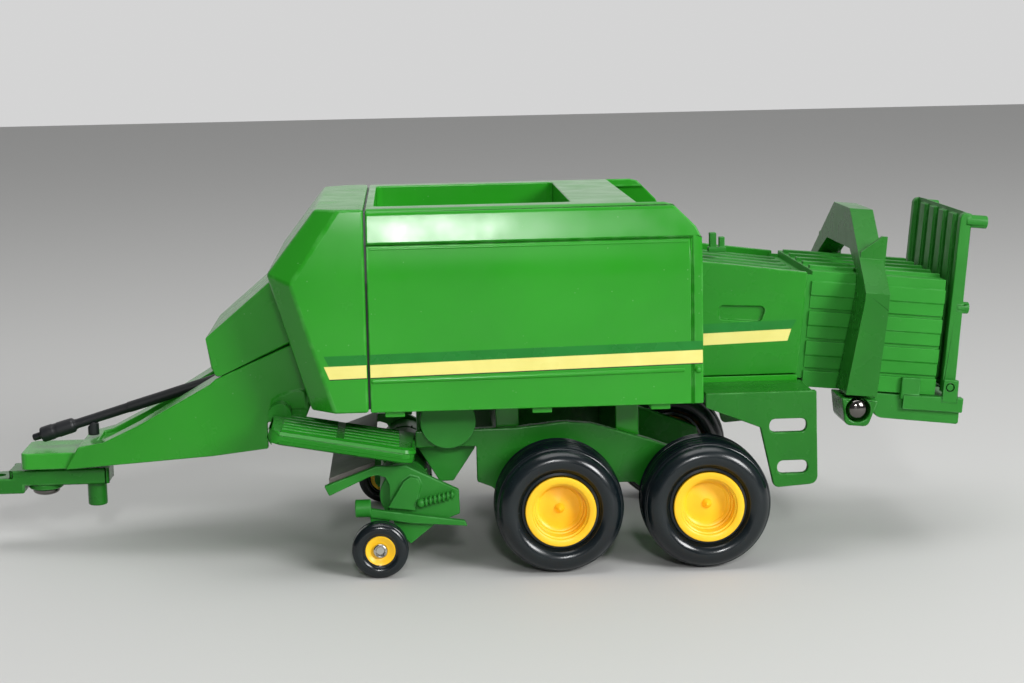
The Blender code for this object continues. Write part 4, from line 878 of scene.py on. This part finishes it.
def row_of(tree, thing, count, **pitch):
    """Copies of a thing in a row, the pitch given as its X, Y or Z."""
    step = add(tree, "ShaderNodeCombineXYZ", **pitch)
    row = add(tree, "GeometryNodeMeshLine", Count=count, Offset=step.outputs[0])
    copies = add(tree, "GeometryNodeInstanceOnPoints", Points=row.outputs[0], Instance=thing)
    return copies.outputs[0]


def make_rib_tree():
    """Round bars along X, side by side in Y."""
    tree, inlet, outlet = new_tree("tread_ribs", [
        ("Length", LENGTH, 0.02), ("Radius", LENGTH, 0.0005), ("Count", WHOLE, 6),
        ("Pitch", LENGTH, 0.004), ("Finish", STUFF, None)])
    tip = add(tree, "ShaderNodeCombineXYZ", X=inlet.outputs["Length"])
    line = add(tree, "GeometryNodeCurvePrimitiveLine", End=tip.outputs[0])
    tube = round_tube(tree, line.outputs[0], inlet.outputs["Radius"], 12)
    close_tree(tree, inlet, outlet,
               row_of(tree, tube, inlet.outputs["Count"], Y=inlet.outputs["Pitch"]))
    return tree


def make_coil_tree():
    """A coil spring along Z."""
    tree, inlet, outlet = new_tree("coil", [
        ("Turns", LENGTH, 7.0), ("Radius", LENGTH, 0.001), ("Height", LENGTH, 0.008),
        ("Wire", LENGTH, 0.0003), ("Finish", STUFF, None)])
    spiral = add(tree, "GeometryNodeCurveSpiral", Resolution=20,
                 Rotations=inlet.outputs["Turns"], Start_Radius=inlet.outputs["Radius"],
                 End_Radius=inlet.outputs["Radius"], Height=inlet.outputs["Height"])
    close_tree(tree, inlet, outlet,
               round_tube(tree, spiral.outputs[0], inlet.outputs["Wire"], 10))
    return tree


def make_tine_tree():
    """Rings of blunt tines, side by side along Z."""
    tree, inlet, outlet = new_tree("tine_rings", [
        ("Reel Radius", LENGTH, 0.006), ("Tine Length", LENGTH, 0.001),
        ("Tine Radius", LENGTH, 0.0003), ("Around", WHOLE, 8), ("Rings", WHOLE, 5),
        ("Pitch", LENGTH, 0.01), ("Finish", STUFF, None)])
    tine = add(tree, "GeometryNodeMeshCone", Vertices=8, Radius_Top=0.00018,
               Radius_Bottom=inlet.outputs["Tine Radius"], Depth=inlet.outputs["Tine Length"])
    ring = add(tree, "GeometryNodeMeshCircle", Vertices=inlet.outputs["Around"],
               Radius=inlet.outputs["Reel Radius"])
    where = tree.nodes.new("GeometryNodeInputPosition")
    aim = add(tree, "FunctionNodeAlignRotationToVector", Vector=where.outputs[0])
    aim.axis = "Z"
    around = add(tree, "GeometryNodeInstanceOnPoints", Points=ring.outputs[0],
                 Instance=tine.outputs["Mesh"], Rotation=aim.outputs[0])
    close_tree(tree, inlet, outlet, row_of(tree, around.outputs[0], inlet.outputs["Rings"],
                                           Z=inlet.outputs["Pitch"]))
    return tree


RIBS = make_rib_tree()
COIL = make_coil_tree()
TINES = make_tine_tree()

# %% [markdown]
# ## Steps
#
# A tread platform slopes down beside the tongue. It has two ribbed fields with a plain strip
# between them, and a fat rounded lip along its outer edge that catches the light. The platform
# is the CAD step with a broad bevel, and the ribs are bars sunk half into its top.

# %% Steps
STEP_FRONT, STEP_FRONT_Z = 72.5, 39.6
STEP_REAR, STEP_REAR_Z = 36.2, 32.9
STEP_SLOPE = math.atan2(STEP_FRONT_Z - STEP_REAR_Z, STEP_FRONT - STEP_REAR)
RIB_COUNT = 6
RIB_ROWS = ((3.2, 13.6), (18.8, 14.0))
RIB_INNER, RIB_PITCH, STEP_RIB_RADIUS, RIB_SINK = 22.6, 3.55, 0.55, 0.12
LIP_Y, LIP_RADIUS = 42.55, 1.62
LIP_FRONT, LIP_REAR = (-2.6, -1.85), (2.2, -1.2)  # from the step's own ends

for word, side in SIDES:
    finished(f"step_{word}", 0.95, 4, finish_name="semi_gloss")
    start = at(STEP_FRONT, side * RIB_INNER, STEP_FRONT_Z - RIB_SINK)
    slope = Matrix.Rotation(math.pi - STEP_SLOPE, 4, "Y")
    fields = []
    for offset, length in RIB_ROWS:
        values = {"Length": length * MM, "Radius": STEP_RIB_RADIUS * MM, "Count": RIB_COUNT,
                  "Pitch": RIB_PITCH * side * MM, "Finish": FINISHES["semi_gloss"]}
        place = Matrix.Translation(start) @ slope @ Matrix.Translation((offset * MM, 0, 0))
        fields.append(run_tree(RIBS, "ribs", values, place))
    fields.append(bar([
        (STEP_FRONT + LIP_FRONT[0], side * LIP_Y, STEP_FRONT_Z + LIP_FRONT[1]),
        (STEP_REAR + LIP_REAR[0], side * LIP_Y, STEP_REAR_Z + LIP_REAR[1])], LIP_RADIUS, 24))
    new_piece(f"step_ribs_{word}", joined(fields, "ribs"), "semi_gloss", "baler",
              angle=50)

# %% [markdown]
# ## Pickup
#
# Each side carries a moulded spring with seven coils. Between them lies the reel, whose rounded
# bands have blunt tines in the grooves. It is moulded with the pickup and doesn't turn.

# %% Springs, reel and tines
COIL_START, COIL_END = (34.4, 18.3), (26.6, 20.2)
COIL_TURNS, COIL_RADIUS, WIRE, ROD, COLLAR = 7.0, 0.85, 0.36, 0.7, 1.25
for word, side in SIDES:
    low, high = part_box(f"pickup_spring_{word}")
    middle = (low + high).y / 2 / MM
    start = at(COIL_START[0], middle, COIL_START[1])
    along = at(COIL_END[0], middle, COIL_END[1]) - start
    turn = along.to_track_quat("Z", "Y").to_matrix().to_4x4()
    values = {"Turns": COIL_TURNS, "Radius": COIL_RADIUS * MM, "Height": along.length,
              "Wire": WIRE * MM, "Finish": FINISHES["green_plastic"]}
    coil = run_tree(COIL, "coil", values, Matrix.Translation(start) @ turn)
    rod = bar([(COIL_START[0] + 1.6, middle, COIL_START[1] - 0.4),
               (COIL_END[0] - 0.2, middle, COIL_END[1])], ROD, 16)
    collar = bar([(COIL_START[0] + 1.9, middle, COIL_START[1] - 0.46),
                  (COIL_START[0] - 0.4, middle, COIL_START[1] + 0.1)], COLLAR, 16)
    new_piece(f"moulded_spring_{word}", joined([coil, rod, collar], "spring"),
              "green_plastic", "pickup", [f"pickup_spring_{word}"], angle=60)

reel_low, reel_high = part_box("pickup_reel")
REEL_BANDS, REEL_GROOVE, REEL_DEPTH = 6, 0.7, 0.9
REEL_CENTRE = (reel_low + reel_high) / 2
REEL_HALF = (reel_high.y - reel_low.y) / 2 / MM
REEL_RADIUS = (reel_high.x - reel_low.x) / 2 / MM


def reel_profile():
    """Rounded bands with deep grooves between them."""
    pitch = 2 * REEL_HALF / REEL_BANDS
    points = [(0, REEL_HALF)]
    for index in range(REEL_BANDS):
        top = REEL_HALF - index * pitch
        start = top - (REEL_GROOVE if index else 0)
        end = top - pitch + (REEL_GROOVE if index < REEL_BANDS - 1 else 0)
        points += [(REEL_RADIUS - REEL_DEPTH, start), (REEL_RADIUS - 0.2, start - 0.05),
                   (REEL_RADIUS, start - 0.3), (REEL_RADIUS, end + 0.3),
                   (REEL_RADIUS - 0.2, end + 0.05), (REEL_RADIUS - REEL_DEPTH, end)]
    return points + [(0, -REEL_HALF)]


new_piece("reel_bands", turned(reel_profile(), REEL_CENTRE, "y", 1, 64), "green_plastic",
          "pickup", ["pickup_reel"], angle=40)
pitch = 2 * REEL_HALF / REEL_BANDS
values = {"Reel Radius": (REEL_RADIUS - REEL_DEPTH) * MM, "Tine Length": 1.5 * MM,
          "Tine Radius": 0.36 * MM, "Around": 10, "Rings": REEL_BANDS - 1,
          "Pitch": pitch * MM, "Finish": FINISHES["green_plastic"]}
first_ring = REEL_CENTRE - Vector((0, (REEL_HALF - pitch) * MM, 0))
tines = run_tree(TINES, "reel_tines", values,
                 Matrix.Translation(first_ring) @ Matrix.Rotation(-math.pi / 2, 4, "X"))
new_piece("reel_tines", tines, "green_plastic", "pickup", angle=50)

# %% [markdown]
# ## Wheels
#
# The tyres are soft vinyl: a smooth, shiny sidewall, a fine step at the shoulder and a tread of
# plain ribs round the wheel. The rims are deep yellow dishes with stepped walls and a small
# pointed hub cap. All are turned profiles.


# %% Tyre and rim profiles
TREAD_GROOVE, TREAD_DEPTH, TREAD_CROWN = 1.15, 1.0, 0.35


def wheel_size(node):
    """A wheel's centre in metres, and its radius and half width in millimetres."""
    low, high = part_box(node)
    return (low + high) / 2, (high.z - low.z) / 2 / MM, (high.y - low.y) / 2 / MM


def arc(centre, radii, start, end, count):
    """Points on an ellipse arc of (radius, along), with the angles in degrees."""
    points = []
    for index in range(count + 1):
        angle = math.radians(start + (end - start) * index / count)
        points.append((centre[0] + radii[0] * math.sin(angle),
                       centre[1] + radii[1] * math.cos(angle)))
    return points


def tread(radius, reach, ribs):
    """Ribs round the tread, from +reach to -reach."""
    groove, depth = TREAD_GROOVE, TREAD_DEPTH
    pitch = 2 * reach / ribs
    points = []
    for index in range(ribs):
        outer = reach - index * pitch
        inner = outer - pitch
        crown = [radius - TREAD_CROWN * (abs(y) / reach) ** 2 for y in (outer, inner)]
        points += [(crown[0] - depth, outer - groove / 2 + 0.02),
                   (crown[0] - 0.12, outer - groove / 2), (crown[0], outer - groove / 2 - 0.15),
                   (crown[1], inner + groove / 2 + 0.15), (crown[1] - 0.12, inner + groove / 2),
                   (crown[1] - depth, inner + groove / 2 - 0.02)]
    return points


def tyre_profile(radius, half, bead, ribs):
    wall = radius - bead
    outer = [(bead - 0.35, 0.66 * half), (bead - 0.05, 0.765 * half), (bead + 0.2, 0.79 * half)]
    outer += arc((bead + 0.48 * wall, 0.42 * half), (0.48 * wall, 0.58 * half), -52, 54, 20)
    shoulder = outer[-1]
    outer += [(shoulder[0] + 0.02, shoulder[1] - 0.2), (shoulder[0] + 0.2, shoulder[1] - 0.27),
              (shoulder[0] + 0.36, shoulder[1] - 0.5)]
    reach = shoulder[1] - 0.7
    middle = tread(radius, reach, ribs) if ribs else arc(
        (radius - 0.5, 0), (0.5, reach), -90, 90, 8)[::-1]
    inner = [(r, -y) for r, y in reversed(outer)]
    return outer + middle + inner


def rim_profile(radius, lip, depth):
    """A dish: a flat lip, two fine steps down the wall, a dished floor and a hub point."""
    floor = [(0, 2.3), (0.25, 2.25), (1.15, 1.35), (1.3, 0.95), (2.4, 0.75), (4.3, 0.2),
             (5.2, 0.15), (5.6, 0.55), (6.1, 0.7), (6.25, 1.6), (6.6, 1.7)]
    return [(r, lip - depth + rise) for r, rise in floor] + [
            (6.75, lip - 1.0),
            (7.1, lip - 0.85), (7.25, lip - 0.15), (7.45, lip), (radius - 0.5, lip + 0.1),
            (radius - 0.15, lip), (radius, lip - 0.25), (radius - 0.1, lip - 0.7),
            (radius - 0.5, lip - 0.9)]


# %% Main wheels
WHEEL_STEPS, BEAD, RIM_DEPTH, TREAD_RIBS = 128, 9.0, 5.4, 6
for end in ("front", "rear"):
    for word, side in SIDES:
        node = f"tyre_{end}_{word}"
        centre, radius, half = wheel_size(node)
        lip = (outward(f"rim_{end}_{word}", side)[1] - abs(centre.y)) / MM
        profile = tyre_profile(radius, half, BEAD, TREAD_RIBS)
        tyre = turned(profile, centre, "y", side, WHEEL_STEPS)
        new_piece(f"vinyl_{node}", tyre, "tyre_rubber", body_of(node), [node], angle=35)
        front = rim_profile(BEAD, lip, RIM_DEPTH)
        back = [(8.0, 0.2 - 0.8 * half), (7.6, -0.8 * half), (7.2, 0.4 - 0.8 * half), (6.4, 0.1),
                (3.6, -0.1), (3.2, -0.5), (3.2, 0.3 - half), (2.9, 0.1 - half), (1.9, 0.1 - half),
                (1.75, 0.3 - half), (1.75, 0.27), (0, 0.27)]
        rim = turned(front + back, centre, "y", side, WHEEL_STEPS)
        new_piece(f"dished_rim_{end}_{word}", rim, "yellow_plastic", body_of(node),
                  [f"rim_{end}_{word}"], angle=32)

# %% Gauge wheels and their hollow rivets
GAUGE_BEAD = 3.9
for word, side in SIDES:
    node = f"tyre_gauge_{word}"
    centre, radius, half = wheel_size(node)
    tyre = turned(tyre_profile(radius, half, GAUGE_BEAD, 0), centre, "y", side, 72)
    new_piece(f"vinyl_{node}", tyre, "tyre_rubber", body_of(node), [node], angle=35)
    rim = turned([(1.3, 0.5 * half), (2.1, 0.52 * half), (2.5, 0.56 * half), (3.2, 0.78 * half),
                  (3.7, 0.84 * half), (3.85, 0.74 * half), (3.8, 0.6 * half), (3.6, -0.7 * half),
                  (3.3, -0.75 * half), (1.3, -0.72 * half)], centre, "y", side, 64)
    new_piece(f"gauge_rim_{word}", rim, "yellow_plastic", body_of(node),
              [f"rim_gauge_{word}"], angle=32)
    foot, head = [(reach - abs(centre.y)) / MM for reach in outward(f"rivet_gauge_{word}", side)]
    rivet = turned([(0, head - 0.75), (0.95, head - 0.7), (1.15, head - 0.3), (1.3, head - 0.05),
                    (1.5, head), (1.72, head - 0.12), (1.88, head - 0.4), (1.9, head - 0.72),
                    (0.95, head - 0.78), (0.95, foot), (0, foot)], centre, "y", side, 64)
    new_piece(f"hollow_rivet_{word}", rivet, "bright_steel", "pickup",
              [f"rivet_gauge_{word}"], angle=40)

# %% [markdown]
# ## Tongue, drive shaft and rivets
#
# The tongue's side has a low moulded pad where the step's boss meets it. The drive shaft is one
# black moulding: a tapered tube, a bell at its front end and a stub. The rivets are domed, and
# their bright steel is darkened as painted shade, standing in for the shade they sit in.

# %% Tongue
PAD = [(73.7, 40.2), (72.9, 42.9), (71.2, 43.9), (68.4, 44.8), (65.7, 45.2), (64.3, 44.9),
       (64.2, 40.2)]
PAD_INNER, PAD_OUTER = 19.4, 21.1
pads = [("UNION", prism("y", *sorted((side * PAD_INNER, side * PAD_OUTER)), PAD))
        for _, side in SIDES]
finished("tongue", 0.42, 3, pads)

# %% Drive shaft
SHAFT_FRONT, SHAFT_REAR = (136.5, 31.2), (84.2, 46.5)
shaft_start = at(SHAFT_FRONT[0], 0, SHAFT_FRONT[1])
shaft_along = at(SHAFT_REAR[0], 0, SHAFT_REAR[1]) - shaft_start
shaft_length = shaft_along.length / MM
SHAFT_PROFILE = [
    (0, -2.5), (0.75, -2.4), (0.95, -2.1), (0.98, -0.3), (1.3, -0.15), (1.9, 0.05), (2.1, 0.5),
    (2.12, 3.2), (1.98, 3.5), (1.98, 4.6), (2.06, 4.8), (2.02, 8.6), (1.9, 9.1), (1.42, 9.5),
    (1.3, 10.2), (1.34, 24), (1.36, 24.4), (1.46, 24.7), (1.5, shaft_length), (0, shaft_length)]
shaft = turned(SHAFT_PROFILE, Vector((0, 0, 0)), "z", 1, 48)
turn = shaft_along.to_track_quat("Z", "Y").to_matrix().to_4x4()
shaft.transform(Matrix.Translation(shaft_start) @ turn)
new_piece("drive_shaft", shaft, "black_plastic", "baler", ["pto_shaft"], angle=40)
finished("pto_support", 0.18, 2)


# %% Domed rivets
HITCH_DOME, HITCH_SHANK = 1.4, 1.9
YOKE_DOME, YOKE_HEAD = 1.5, 2.7


def dome(radius, height, foot):
    """A dome's profile, from its top down to a foot below the face it sits on."""
    points = [(radius * math.sin(math.radians(a)), height * math.cos(math.radians(a)))
              for a in range(0, 91, 10)]
    return points + [(radius, -foot), (0, -foot)]


low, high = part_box("hitch_rivet")
middle = (low + high) / 2
head_z = low.z / MM + HITCH_DOME
shank_end = high.z / MM - head_z
profile = [(r, -z) for r, z in dome((high.x - low.x) / 2 / MM, HITCH_DOME, 0.3)]
profile = profile[:-1] + [(HITCH_SHANK, 0.3), (HITCH_SHANK, shank_end), (0, shank_end)]
rivet = turned(profile, Vector((middle.x, middle.y, head_z * MM)), "z", 1, 48)
# The rivet gets the darkened steel: painted shade for the shade it sits in.
new_piece("hitch_rivet_dome", rivet, "steel_darkened_as_shade", "baler", ["hitch_rivet"],
          40)
for word, side in SIDES:
    node = f"yoke_rivet_{word}"
    low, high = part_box(node)
    middle = (low + high) / 2
    foot, top = [reach / MM for reach in outward(node, side)]
    place = Vector((middle.x, side * (top - YOKE_DOME) * MM, middle.z))
    profile = dome(YOKE_HEAD, YOKE_DOME, top - YOKE_DOME - foot)
    rivet = turned(profile, place, "y", side, 48)
    # The rivet gets the darkened steel: painted shade for the shade it sits in.
    new_piece(f"{node}_dome", rivet, "steel_darkened_as_shade", "baler", [node], 40)

# %% Axles and chute pin
for node in ("front_axle", "rear_axle", "chute_pin"):
    finished(node, 0.2, 2)

# %% [markdown]
# ## What is left of the CAD nodes
#
# The rear panels keep their handle recess and get soft edges. Anything that still shows as a
# CAD node gets the finish of its slot.

# %% Rear panels and remaining nodes
for word, side in SIDES:
    finished(f"rear_panel_{word}", 0.3, 3, finish_name="semi_gloss")

for name, node in frame["nodes"].items():
    if not node.hide_render:
        print("shown as CAD:", name)
        node.data.materials.clear()
        node.data.materials.append(FINISHES[SLOT_OF[name]])
